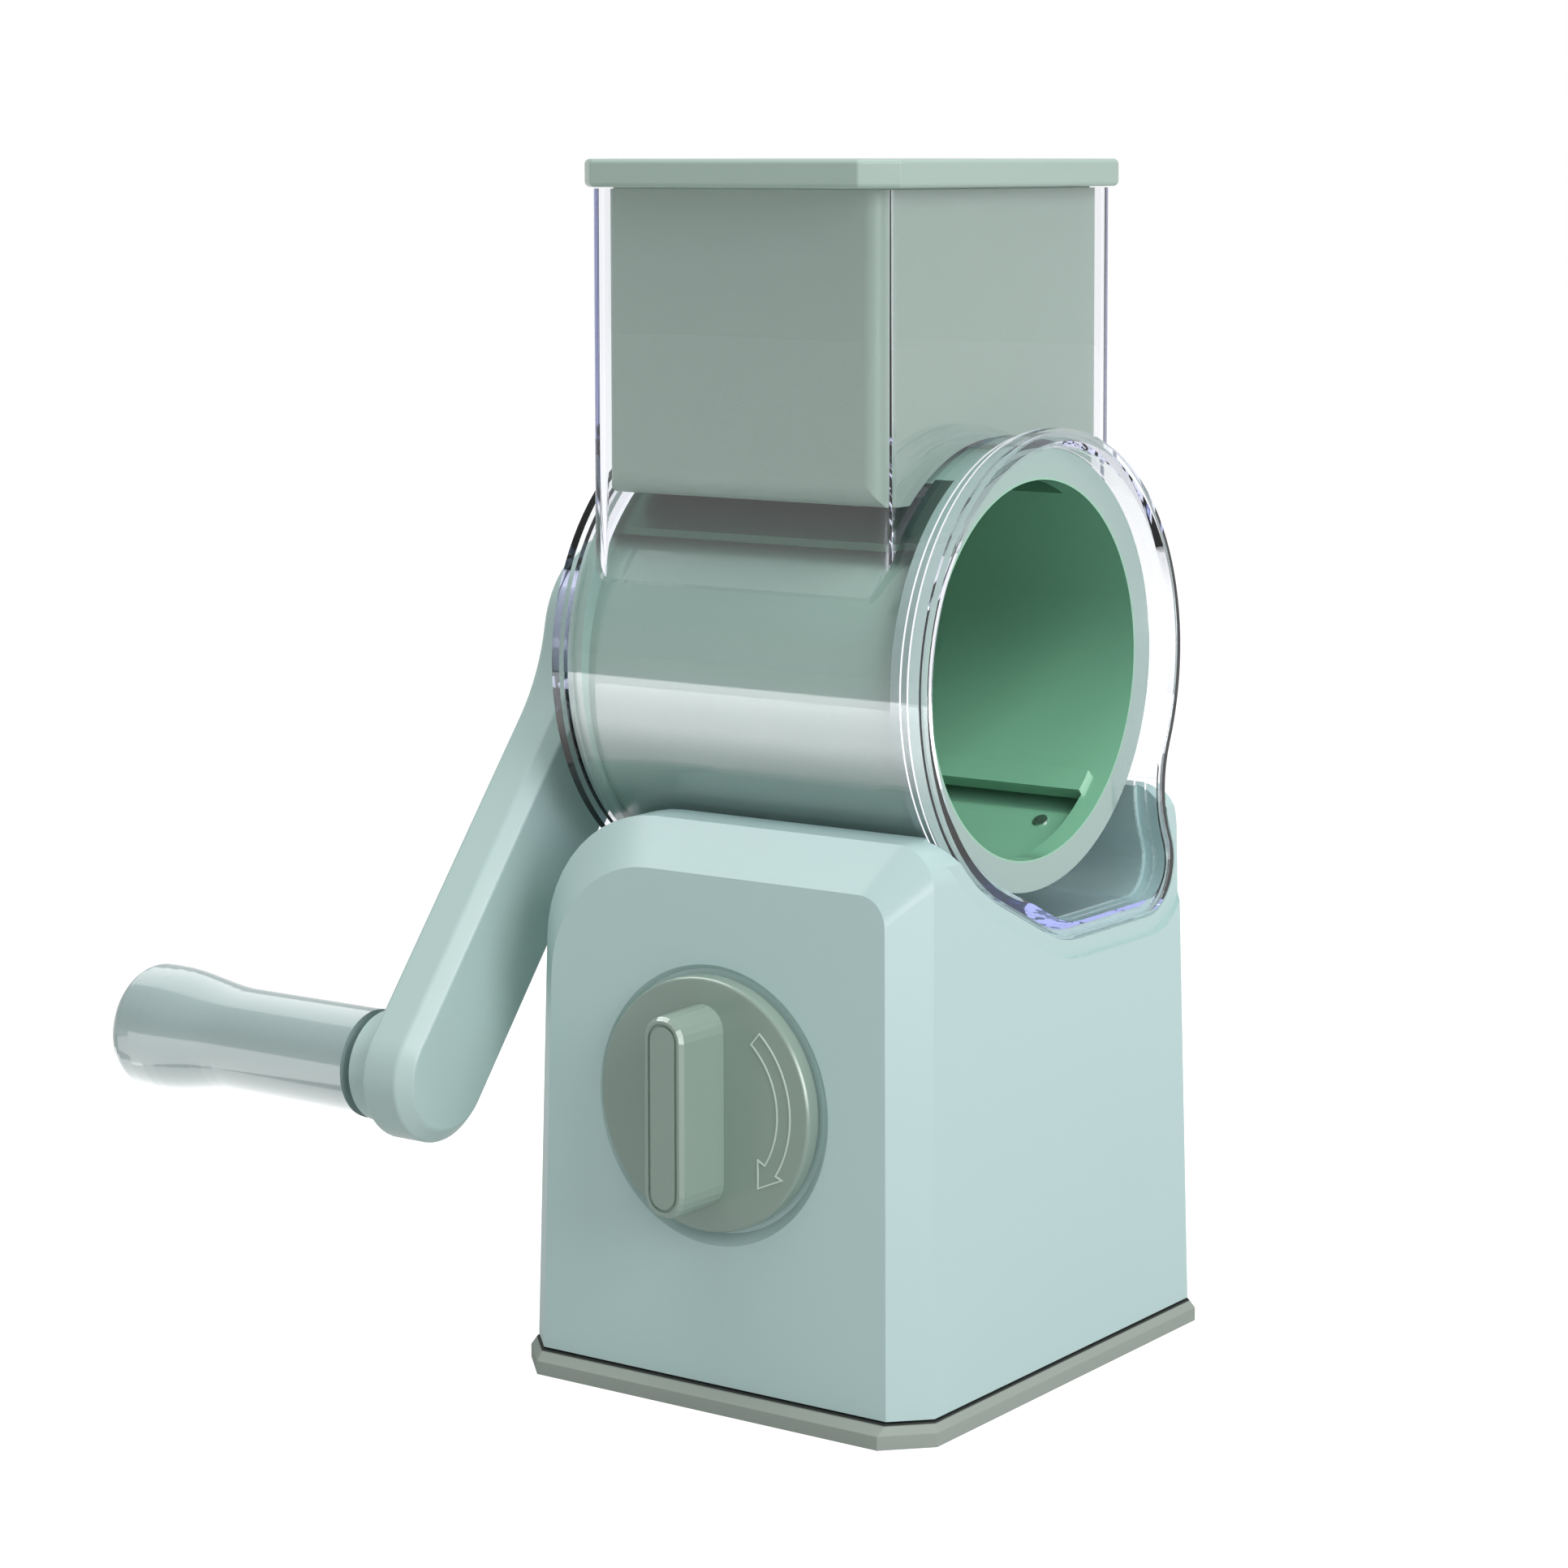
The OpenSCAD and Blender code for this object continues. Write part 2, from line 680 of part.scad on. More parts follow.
// Knob with its finger bar, its shaft and the square end that turns the cam
module suction_knob() {
    front = knob_disc_t;
    tip = knob_disc_t + bar_out;
    color("#86958d")
        translate([0, 0, knob_z]) {
            translate([0, -seat_y - knob_back, 0])
                rotate([90, 0, 0])
                    difference() {
                        union() {
                            rotate_extrude()
                                polygon(concat([[0, 0], [knob_r - knob_edge_r, 0], [knob_r, knob_edge_r]],
                                    arc([knob_r - knob_edge_r, front - knob_edge_r], knob_edge_r,
                                        0, 90, corner_steps),
                                    [[0, front]]));
                            loft([at_z(stadium(bar_w / 2, bar_h / 2), front - knob_edge_r),
                                at_z(stadium(bar_w / 2 - bar_draft, bar_h / 2 - bar_draft), tip - bar_edge),
                                at_z(stadium(bar_w / 2 - bar_draft - bar_edge,
                                    bar_h / 2 - bar_draft - bar_edge), tip)]);
                        }
                        translate([0, 0, tip - bar_groove_d])
                            difference() {
                                stadium_block(bar_w / 2 - bar_groove_in, bar_h / 2 - bar_groove_in, bar_out);
                                translate([0, 0, -over])
                                    stadium_block(bar_w / 2 - bar_groove_in - bar_groove_w,
                                        bar_h / 2 - bar_groove_in - bar_groove_w, bar_out + 2 * over);
                            }
                    }
            difference() {
                union() {
                    rod_y(knob_shaft_r, -seat_y - knob_back - knob_edge_r, -cam_t / 2);
                    translate([-tenon_w / 2, -cam_t, -tenon_w / 2])
                        cube([tenon_w, 3 * cam_t / 2 - tenon_fit, tenon_w]);
                }
                rod_y(bolt_r + tenon_fit, cam_t / 2 - bolt_len, cam_t);
            }
        }
}

// Block with round ends, h high on each side of its middle
module stadium_block(r, h, t) {
    for (s = [-1, 1])
        translate([0, s * (h - r), 0])
            cylinder(h = t, r = r, $fn = small_fn);
    translate([-r, r - h, 0])
        cube([2 * r, 2 * (h - r), t]);
}

// Cam whose edge lifts the post at a steady rate over a quarter turn
module lift_cam() {
    lead = atan2(cam_rise, cam_low) - acos(cam_back_r / norm([cam_low, cam_rise]));
    trail = 90 + atan2(cam_rise, cam_high) + acos(cam_back_r / norm([cam_high, cam_rise]));
    color("#d9dbd6")
        translate([0, cam_t / 2, knob_z])
            rotate([90, 0, 0])
                linear_extrude(height = cam_t)
                    difference() {
                        polygon(concat([for (i = [0:cam_steps]) cam_point(90 * i / cam_steps)],
                            arc([0, 0], cam_back_r, 90 + trail, 450 + lead, cam_steps)));
                        square(tenon_w + 2 * tenon_fit, center = true);
                    }
}

// Washer that keeps the cam on the knob's square end
module cam_washer() {
    color("#c9cdd0")
        translate([0, 0, knob_z])
            difference() {
                rod_y(cam_washer_r, cam_t / 2, cam_t / 2 + cam_washer_t);
                rod_y(bolt_r + screw_bore, cam_t / 2 - over, cam_t / 2 + cam_washer_t + over);
            }
}

// Screw through the cam's washer into the knob
module cam_screw() {
    head = cam_t / 2 + cam_washer_t;
    color("#c9cdd0")
        translate([0, 0, knob_z]) {
            rod_y(bolt_head_r, head, head + bolt_head_h);
            rod_y(bolt_r, cam_t / 2 - bolt_len + over, head + bolt_head_h / 2);
        }
}

// Clear housing: tube, trough, flange, back wall and feed chute in one moulding
module drum_housing() {
    nose_x = tube_front - flange_nose;
    color("#dfeaf2", 0.35)
        difference() {
            union() {
                housing_form(-flange_lip, -tube_back, flange_x + flange_step / 2);
                housing_form(rear_rim_lip - flange_lip, -tube_back, rear_rim_w - tube_back);
                housing_form(-flange_step_lip, flange_x, flange_x + flange_step);
                housing_form(0, flange_x + flange_step, nose_x);
                housing_form(-flange_nose_lip, nose_x, tube_front);
                upright_block(chute_x, chute_y, axis_z, chute_top, chute_corner_r);
                on_axis()
                    rod_x(back_boss_r, -tube_back - back_boss_h, back_wall - tube_back);
            }
            housing_form(-flange_lip - tube_wall, back_wall - tube_back, tube_front + over);
            upright_block(chute_x - 2 * chute_wall, chute_y - 2 * chute_wall, axis_z, chute_top + over,
                chute_corner_r - chute_wall);
            on_axis() {
                rod_x(bush_r + seat_fit, -tube_back - back_boss_h - over, over - tube_back + back_wall);
                translate([tube_front - mouth_bevel, 0, 0])
                    rotate([0, 90, 0])
                        cylinder(h = 2 * mouth_bevel, r1 = tube_r, r2 = tube_r + 2 * mouth_bevel);
            }
        }
}

// Bearing bush of the drive shaft, pressed into the housing's back wall
module shaft_bush() {
    face = -tube_back - back_boss_h;
    color("#d8dcda")
        on_axis()
            difference() {
                union() {
                    rod_x(bush_r, face - bush_flange_t / 2, back_wall - tube_back);
                    rod_x(bush_flange_r, face - bush_flange_t, face);
                }
                rod_x(shaft_r + run_fit, face - bush_flange_t - over, back_wall - tube_back + over);
            }
}

// Ring sector about the drum axis, from angle a to angle b
module sector(inner, outer, x0, x1, a, b) {
    far = 2 * drum_r;
    steps = max(1, ceil((b - a) / 60));
    intersection() {
        difference() {
            rod_x(outer, x0, x1);
            rod_x(inner, x0 - over, x1 + over);
        }
        along_x(x0 - over, x1 + over)
            polygon(concat([[0, 0]], arc([0, 0], far, a, b, steps)));
    }
}

// Repeats things on both sides of the drum, one for each blade
module per_blade() {
    on_axis()
        for (turn = [0, 180])
            rotate([turn, 0, 0])
                children();
}

// Slicing drum: end ring, back disc with its hub, and two spiral ramps that lead to the slots
module drum_frame() {
    s = blade_angle;
    color("#5fa386")
        difference() {
            union() {
                on_axis() {
                    difference() {
                        rod_x(drum_r, ring_x, drum_front);
                        rod_x(mouth_r, ring_x - over, drum_front + over);
                    }
                    rod_x(drum_r, drum_x, wall_x);
                    rod_x(drum_hub_r, drum_x, drum_x + hex_len + free_gap + hub_wall);
                }
                per_blade() {
                    sector(skin_r - drum_wall, skin_r, wall_x, ring_x,
                        s - lap_span - wall_span, s - lap_span);
                    ramp();
                    sector(mouth_r - ramp_rib, mouth_r + ramp_rib, wall_x, ring_x,
                        s - ramp_lead, s - ramp_lead + rib_span);
                    sector(blade_in_r - lip_t, blade_in_r, wall_x, ring_x,
                        s - lap_span - lip_span, s - lap_span + lip_span);
                }
            }
            per_blade() {
                sector(blade_in_r, drum_r + over, wall_x, ring_x, s - blade_span, s);
                for (i = [0:rivet_count - 1])
                    rivet_place(i)
                        translate([0, 0, mouth_r])
                            cylinder(h = drum_r - mouth_r, r = rivet_r + rivet_fit, $fn = small_fn);
            }
            on_axis() {
                rod_x(clip_room_r, drum_x - over, drum_x + clip_room);
                translate([drum_x, 0, 0])
                    rotate([0, 90, 0])
                        cylinder(h = hex_len + free_gap, d = (hex_flats + 2 * hex_fit) / cos(30), $fn = 6);
            }
        }
}

// Ramp from the drum's skin down to the foot of the slot, round inside and off centre outside
module ramp() {
    high = blade_angle + ramp_span;
    intersection() {
        difference() {
            translate([0, ramp_off * cos(high), ramp_off * sin(high)])
                rod_x(blade_out_r - ramp_off, wall_x, ring_x);
            rod_x(mouth_r, wall_x - over, ring_x + over);
        }
        along_x(wall_x - over, ring_x + over)
            polygon(concat([[0, 0]], arc([0, 0], 2 * drum_r, blade_angle - ramp_lead, high, 2)));
    }
}

// Places things on a rivet's line, which runs outward along Z
module rivet_place(i) {
    run = ring_x - wall_x - 2 * rivet_inset;
    rotate([blade_angle - rivet_back, 0, 0])
        translate([wall_x + rivet_inset + run * i / (rivet_count - 1), 0, 0])
            rotate([-90, 0, 0])
                children();
}

// Steel slicing blade, bevelled along its edge, on the near or the far side of the drum
module blade(turn) {
    s = blade_angle;
    color("#c4ccd0")
        on_axis()
            rotate([turn, 0, 0])
                difference() {
                    sector(blade_in_r, blade_out_r, wall_x + blade_gap, ring_x - blade_gap,
                        s - blade_span, s);
                    rotate([s, 0, 0])
                        translate([wall_x, blade_in_r + blade_edge, 0])
                            rotate([atan2(blade_t - blade_edge, blade_bevel), 0, 0])
                                translate([0, 0, -2 * blade_bevel])
                                    cube([ring_x - wall_x, 4 * blade_bevel, 4 * blade_bevel]);
                    for (i = [0:rivet_count - 1])
                        rivet_place(i)
                            translate([0, 0, mouth_r])
                                cylinder(h = drum_r - mouth_r, r = rivet_r + rivet_fit, $fn = small_fn);
                }
}

// Blade on the front of the drum
module front_blade() {
    blade(0);
}

// Blade on the back of the drum
module rear_blade() {
    blade(180);
}

// Rivets that hold the two blades on the drum
module blade_rivets() {
    inner_face = skin_r - drum_wall;
    inner = sqrt(inner_face * inner_face - rivet_head_r * rivet_head_r);
    color("#c9cdd0")
        per_blade()
            for (i = [0:rivet_count - 1])
                rivet_place(i) {
                    translate([0, 0, inner - rivet_head_t])
                        cylinder(h = rivet_head_t, r = rivet_head_r, $fn = small_fn);
                    translate([0, 0, inner - rivet_head_t / 2])
                        cylinder(h = blade_out_r - inner + rivet_head_t, r = rivet_r, $fn = small_fn);
                    translate([0, 0, blade_out_r])
                        cylinder(h = rivet_head_t, r = rivet_head_r, $fn = small_fn);
                }
}

// Crank arm with its bevelled outline, its boss and the sockets of shaft and axle
module crank_arm() {
    web = arm_back - cap_t - bolt_room;
    color("#9db5ab")
        difference() {
            union() {
                on_crank()
                    loft([for (face = [[-arm_back, arm_back_bevel], [arm_back_bevel - arm_back, 0],
                            [-arm_x - arm_bevel, 0], [-arm_x, arm_bevel]])
                        [for (p = arm_points(face[1])) [face[0], p.x, p.y]]]);
                on_axis()
                    rod_x(arm_boss_r, -arm_x - arm_bevel, -bush_end - free_gap - seal_t);
            }
            on_axis() {
                rod_x(shaft_r + seat_fit, -shaft_back, -bush_end);
                rod_x(bolt_r + screw_bore, -arm_back - over, -shaft_back + over);
                rod_x(bolt_room_r, -arm_back - over, -web);
                rod_x(cap_r + seat_fit, -arm_back - over, cap_t - arm_back);
            }
            on_grip()
                rod_x(axle_r + seat_fit, -arm_back - over, axle_grip_len - arm_back);
        }
}

// Steel drive shaft: round in the arm and the bush, six sided in the drum's hub
module drive_shaft() {
    color("#c2c8cb")
        on_axis()
            difference() {
                union() {
                    rod_x(shaft_r, -shaft_back, shaft_front);
                    translate([shaft_front - over, 0, 0])
                        rotate([0, 90, 0])
                            cylinder(h = drum_x + hex_len - shaft_front + over, d = hex_flats / cos(30),
                                $fn = 6);
                }
                difference() {
                    rod_x(shaft_r + over, clip_x - seat_fit, clip_x + clip_t + seat_fit);
                    rod_x(shaft_r - clip_groove, clip_x - over, clip_x + clip_t + over);
                }
                rod_x(bolt_r + seat_fit, -shaft_back - over, bolt_len - shaft_back);
            }
}

// Screw that draws the arm onto the shaft
module shaft_screw() {
    seat = arm_back - cap_t - bolt_room;
    color("#c9cdd0")
        on_axis() {
            rod_x(bolt_head_r, -seat - bolt_head_h, -seat);
            rod_x(bolt_r, -seat - bolt_head_h / 2, bolt_len - over - shaft_back);
        }
}

// Cap over the shaft's screw
module hub_cap() {
    color("#8fa79d")
        on_axis()
            rod_x(cap_r, -arm_back, cap_t - arm_back);
}

// Rubber ring between the arm and the bush
module shaft_seal() {
    color("#4b5350")
        on_axis()
            difference() {
                rod_x(seal_r, -bush_end - free_gap - seal_t, -bush_end - free_gap);
                rod_x(shaft_r + seat_fit, -bush_end - free_gap - seal_t - over, over - bush_end);
            }
}

// Spring clip that keeps the shaft in its bush
module shaft_clip() {
    color("#aeb4b6")
        on_axis()
            difference() {
                rod_x(clip_r, clip_x, clip_x + clip_t);
                rod_x(shaft_r - clip_groove + seat_fit, clip_x - over, clip_x + clip_t + over);
                translate([clip_x - over, -clip_mouth / 2, -2 * clip_r])
                    cube([clip_t + 2 * over, clip_mouth, 2 * clip_r]);
            }
}

// Steel axle that the grip turns on
module grip_axle() {
    color("#c2c8cb")
        on_grip()
            difference() {
                rod_x(axle_r, -axle_back, axle_grip_len - arm_back);
                rod_x(bolt_r + seat_fit, -axle_back - over, bolt_len - axle_back);
            }
}

// Collar between the arm and the grip
module grip_collar() {
    color("#8fa79d")
        on_grip()
            translate([-arm_back, 0, 0])
                rotate([0, -90, 0])
                    rotate_extrude()
                        polygon([[axle_r + seat_fit, 0], [collar_r, 0], [collar_r, collar_len - collar_edge],
                            [collar_r - collar_edge, collar_len], [neck_r, collar_len],
                            [neck_r, collar_len + neck_len], [axle_r + seat_fit, collar_len + neck_len]]);
}

// Grip with its waist and its flared end, free to turn on the axle
module grip() {
    edge = grip_len - grip_edge_r;
    color("#a2b5ad")
        on_grip()
            translate([-grip_x, 0, 0])
                rotate([0, -90, 0])
                    rotate_extrude()
                        polygon(concat([[axle_r + run_fit, 0]],
                            [for (i = [0:grip_steps]) [grip_radius(i * edge / grip_steps / grip_len),
                                i * edge / grip_steps]],
                            tail(arc([grip_flare_r - grip_edge_r, edge], grip_edge_r, 0, 90, corner_steps)),
                            [[grip_room_r, grip_len], [grip_room_r, grip_len - grip_room],
                                [axle_r + run_fit, grip_len - grip_room]]));
}

// Washer that keeps the grip on its axle
module axle_washer() {
    color("#c9cdd0")
        on_grip()
            difference() {
                rod_x(axle_washer_r, -axle_back - axle_washer_t, -axle_back);
                rod_x(bolt_r + screw_bore, -axle_back - axle_washer_t - over, over - axle_back);
            }
}

// Screw through the washer into the axle
module axle_screw() {
    head = axle_back + axle_washer_t;
    color("#c9cdd0")
        on_grip() {
            rod_x(bolt_head_r, -head - bolt_head_h, -head);
            rod_x(bolt_r, -head - bolt_head_h / 2, bolt_len - over - axle_back);
        }
}

// Cap that closes the grip's end
module grip_cap() {
    color("#8fa79d")
        on_grip()
            rod_x(grip_room_r - seat_fit, -grip_back, grip_cap_t - grip_back);
}

// Hollow pusher that fits the chute and arches over the drum
module pusher_body() {
    color("#93a99c")
        difference() {
            upright_block(pusher_x, pusher_y, pusher_z, lid_z, pusher_corner_r);
            difference() {
                upright_block(pusher_x - 2 * pusher_wall, pusher_y - 2 * pusher_wall, pusher_z + pusher_wall,
                    lid_z + over, pusher_corner_r - pusher_wall);
                on_axis()
                    rod_x(arch_r + pusher_wall, -chute_x, chute_x);
            }
            on_axis()
                rod_x(arch_r, -chute_x, chute_x);
            for (side = [-1, 1])
                difference() {
                    translate([-chute_x, side * pusher_y / 2 - pusher_edge_r, pusher_z - pusher_edge_r])
                        cube([2 * chute_x, 2 * pusher_edge_r, 2 * pusher_edge_r]);
                    translate([0, side * (pusher_y / 2 - pusher_edge_r), pusher_z + pusher_edge_r])
                        rod_x(pusher_edge_r, -2 * chute_x, 2 * chute_x);
                }
        }
}

// Lid that closes the pusher and stops it on the chute's rim
module pusher_lid() {
    low = octagon(lid_x / 2 - lid_edge, lid_y / 2 - lid_edge, lid_corner - lid_edge * (1 - bevel_share));
    full = octagon(lid_x / 2, lid_y / 2, lid_corner);
    color("#9db5a8") {
        translate([-chute_shift, 0, 0])
            loft([at_z(low, lid_z), at_z(full, lid_z + lid_edge),
                at_z(full, top_z - lid_edge), at_z(low, top_z)]);
        upright_block(pusher_x - 2 * pusher_wall - 2 * seat_fit, pusher_y - 2 * pusher_wall - 2 * seat_fit,
            lid_z - spigot_h, lid_z + lid_edge, pusher_corner_r - pusher_wall);
    }
}

base_housing();
inner_frame();
frame_screws();
suction_pad();
suction_post();
suction_knob();
lift_cam();
cam_washer();
cam_screw();
drum_housing();
shaft_bush();
drum_frame();
front_blade();
rear_blade();
blade_rivets();
crank_arm();
drive_shaft();
shaft_screw();
hub_cap();
shaft_seal();
shaft_clip();
grip_axle();
grip_collar();
grip();
axle_washer();
axle_screw();
grip_cap();
pusher_body();
pusher_lid();
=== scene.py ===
import json
import math

import bpy
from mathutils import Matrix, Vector

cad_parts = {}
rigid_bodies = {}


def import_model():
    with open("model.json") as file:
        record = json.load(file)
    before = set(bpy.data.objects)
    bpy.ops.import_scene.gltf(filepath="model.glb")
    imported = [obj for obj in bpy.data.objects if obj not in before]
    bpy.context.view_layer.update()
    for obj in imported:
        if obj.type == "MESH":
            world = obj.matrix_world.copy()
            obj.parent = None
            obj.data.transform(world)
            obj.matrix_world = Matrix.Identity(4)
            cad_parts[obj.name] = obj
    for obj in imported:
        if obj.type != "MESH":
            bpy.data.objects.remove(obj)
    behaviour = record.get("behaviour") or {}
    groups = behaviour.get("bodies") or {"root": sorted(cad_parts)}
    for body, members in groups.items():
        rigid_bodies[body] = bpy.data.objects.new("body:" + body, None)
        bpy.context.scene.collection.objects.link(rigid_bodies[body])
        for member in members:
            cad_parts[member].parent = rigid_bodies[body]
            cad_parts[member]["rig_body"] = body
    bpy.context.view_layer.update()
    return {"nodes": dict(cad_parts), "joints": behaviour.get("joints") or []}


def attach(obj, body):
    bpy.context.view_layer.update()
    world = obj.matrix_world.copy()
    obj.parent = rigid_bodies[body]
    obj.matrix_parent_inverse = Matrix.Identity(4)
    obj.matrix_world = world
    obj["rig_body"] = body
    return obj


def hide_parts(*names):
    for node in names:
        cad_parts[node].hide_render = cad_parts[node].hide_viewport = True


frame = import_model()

MM = 0.001
parts = frame["nodes"]
joint_place = {joint["name"]: joint.get("pos_m") for joint in frame["joints"]}

# Places on the slicer, in millimetres, with the axes of drum and knob taken from their joints

DRUM_Z = joint_place["crank_turn"][2] / MM
KNOB_Z = joint_place["knob_turn"][2] / MM
DISC_FRONT = -61.73
ARM_FLATS = (-75, -62)

# Where the painted light and shade on a moulding change (the drum's bore, skin and mouth ring, and the shadow
# on the foot's seam), each as the two ends of a short ramp, in millimetres

DRUM_BACK = (-41.0, -40.0)
RING_FACE = (38.0, 38.8)
RING_RADIUS = (41.3, 41.8)
SKIN_REACH = (4, 12)
FOOT_SEAM_SHADE = (4.55, 4.75)

# Turn arrow on the knob's disc: radii in millimetres, angles in degrees about the knob's axis

BAND_INNER = 19.2
BAND_OUTER = 22.8
BAND_START = 49.5
BAND_END = -33
BAND_STEPS = 26
ARROW_TIP = (21.4, -48.4)
INNER_WING = (17.1, -33.8)
OUTER_WING = (24.7, -32.2)
ARROW_LINE = 0.32
ARROW_RISE = 0.4

# How CAD edges are rounded, with angles in degrees, and how close points count as one, in millimetres

SHARP_ANGLE = 28
SMOOTH_ANGLE = 34
ARROW_SMOOTH_ANGLE = 30
FLAT_ANGLE = 0.4
ROUND_STEPS = 3
MERGE_GAP = 0.004
TOUCH_GAP = 0.02

# The photograph's camera: its pixels, then its place about the slicer in metres and degrees

PHOTO_SIDE = 1932
FOCAL_PIXELS = 4807.67
MIDDLE_COLUMN = 1069.82
MIDDLE_ROW = 595.84
CAMERA_REACH = 0.86043
CAMERA_HEIGHT = 0.26574
CAMERA_TURN = 34.44
CAMERA_TILT = 4.81
SENSOR_WIDTH = 36


def set_camera():
    """Camera at the photograph's place, with its lens shifted as in the picture."""
    turn = math.radians(CAMERA_TURN)
    lens = bpy.data.cameras.new("studio_camera")
    lens.sensor_width = SENSOR_WIDTH
    lens.lens = FOCAL_PIXELS * SENSOR_WIDTH / PHOTO_SIDE
    lens.shift_x = (PHOTO_SIDE / 2 - MIDDLE_COLUMN) / PHOTO_SIDE
    lens.shift_y = (MIDDLE_ROW - PHOTO_SIDE / 2) / PHOTO_SIDE
    lens.clip_start = 0.05
    lens.clip_end = 30
    camera = bpy.data.objects.new("studio_camera", lens)
    bpy.context.scene.collection.objects.link(camera)
    camera.location = (CAMERA_REACH * math.sin(turn), -CAMERA_REACH * math.cos(turn), CAMERA_HEIGHT)
    camera.rotation_euler = (math.pi / 2 - math.radians(CAMERA_TILT), 0, turn)
    bpy.context.scene.camera = camera


set_camera()


# Node wiring


def wire(tree, kind, sockets=None, **settings):
    """Adds a node, sets its properties, and feeds or fills its sockets by name or number."""
    node = tree.nodes.new(kind)
    for name, value in settings.items():
        setattr(node, name, value)
    for key, value in (sockets or {}).items():
        if isinstance(value, bpy.types.NodeSocket):
            tree.links.new(value, node.inputs[key])
        else:
            node.inputs[key].default_value = value
    return node


def node_of(tree, kind):
    """The first node of one type in a tree."""
    return next(node for node in tree.nodes if node.type == kind)


def maths(tree, way, first, second):
    """One sum on two values, such as ADD or MAXIMUM."""
    return wire(tree, "ShaderNodeMath", {0: first, 1: second}, operation=way).outputs[0]


def vector_maths(tree, way, first, second):
    """One sum on two vectors, such as ADD or MULTIPLY."""
    return wire(tree, "ShaderNodeVectorMath", {0: first, 1: second}, operation=way).outputs[0]


def brightened(tree, colour, level):
    """A colour times a level."""
    return wire(tree, "ShaderNodeVectorMath", {0: colour, "Scale": level}, operation="SCALE").outputs[0]


def blend_colours(tree, share, first, second):
    """A colour mix: share of the second colour over the first."""
    node = wire(tree, "ShaderNodeMix", {0: share, 6: first, 7: second}, data_type="RGBA")
    return node.outputs[2]


def blend_shaders(tree, share, first, second):
    """A shader mix: share of the second shader node over the first."""
    sockets = {0: share, 1: first.outputs[0], 2: second.outputs[0]}
    return wire(tree, "ShaderNodeMixShader", sockets)


def span(tree, value, low, high, out_low=0.0, out_high=1.0):
    """A value carried from one range to another."""
    node = wire(tree, "ShaderNodeMapRange", {0: value, 1: low, 2: high, 3: out_low, 4: out_high})
    return node.outputs[0]


def step(tree, value, ends, before=0.0, after=1.0):
    """A short ramp between two places in millimetres, for a value in metres."""
    return span(tree, value, ends[0] * MM, ends[1] * MM, before, after)


def graded(tree, share, stops, tone=(1, 1, 1)):
    """A grey ramp, or one of another tone, through the stops: each a share along it and a level."""
    bands = wire(tree, "ShaderNodeValToRGB", {0: share})
    ramp = bands.color_ramp
    while len(ramp.elements) < len(stops):
        ramp.elements.new(0.5)
    for element, (along, level) in zip(ramp.elements, stops):
        element.position = along
        element.color = (level * tone[0], level * tone[1], level * tone[2], 1)
    return bands.outputs[0]


def noise(tree, where, scale, detail, roughness=0.5):
    """Soft noise over the piece, from 0 to 1."""
    sockets = {"Vector": where, "Scale": scale, "Detail": detail, "Roughness": roughness}
    return wire(tree, "ShaderNodeTexNoise", sockets).outputs["Fac"]


COLOUR, VALUE, VECTOR = "NodeSocketColor", "NodeSocketFloat", "NodeSocketVector"


def new_group(name, inputs, outputs):
    """An empty node group: its tree, its input sockets, and its output node."""
    tree = bpy.data.node_groups.new(name, "ShaderNodeTree")
    for label, kind, value in inputs:
        socket = tree.interface.new_socket(label, in_out="INPUT", socket_type=kind)
        if value is not None:
            socket.default_value = value
    for label, kind in outputs:
        tree.interface.new_socket(label, in_out="OUTPUT", socket_type=kind)
    return tree, tree.nodes.new("NodeGroupInput").outputs, tree.nodes.new("NodeGroupOutput")


def put_out(tree, out, **values):
    """Feeds a group's outputs, each by its name."""
    for label, value in values.items():
        tree.links.new(value, out.inputs[label.replace("_", " ")])


def make_moulded_skin():
    """Satin skin of moulded plastic: a fine grain, slow clouds in the colour, and uneven sheen."""
    tree, given, out = new_group(
        "moulded_skin",
        [("Place", VECTOR, None), ("Colour", COLOUR, (0.5, 0.5, 0.5, 1)), ("Grain Size", VALUE, 1400),
         ("Cloud Depth", VALUE, 0.05), ("Sheen Low", VALUE, 0.3), ("Sheen High", VALUE, 0.4)],
        [("Colour", COLOUR), ("Sheen", VALUE), ("Height", VALUE)])
    grain = noise(tree, given["Place"], given["Grain Size"], detail=3, roughness=0.55)
    cloud = noise(tree, given["Place"], scale=22, detail=2)
    patch = noise(tree, given["Place"], scale=40, detail=1)
    swing = maths(tree, "SUBTRACT", cloud, 0.5)
    depth = maths(tree, "MULTIPLY", swing, given["Cloud Depth"])
    tone = brightened(tree, given["Colour"], maths(tree, "ADD", depth, 1.0))
    sheen = span(tree, patch, 0.1, 0.9, given["Sheen Low"], given["Sheen High"])
    put_out(tree, out, Colour=tone, Sheen=sheen, Height=grain)
    return tree


def make_drawn_steel():
    """Fine lines that drawing or grinding leaves along one axis of a steel part."""
    tree, given, out = new_group(
        "drawn_steel",
        [("Place", VECTOR, None), ("Along", VECTOR, (1, 1, 1)), ("Colour", COLOUR, (0.6, 0.6, 0.6, 1)),
         ("Sheen Low", VALUE, 0.2), ("Sheen High", VALUE, 0.35)],
        [("Colour", COLOUR), ("Sheen", VALUE), ("Height", VALUE)])
    drawn = vector_maths(tree, "MULTIPLY", given["Place"], given["Along"])
    lines = noise(tree, drawn, scale=1800, detail=4)
    stain = noise(tree, given["Place"], scale=90, detail=3)
    tone = brightened(tree, given["Colour"], span(tree, stain, 0.2, 0.8, 0.92, 1.06))
    sheen = span(tree, lines, 0.3, 0.7, given["Sheen Low"], given["Sheen High"])
    put_out(tree, out, Colour=tone, Sheen=sheen, Height=lines)
    return tree


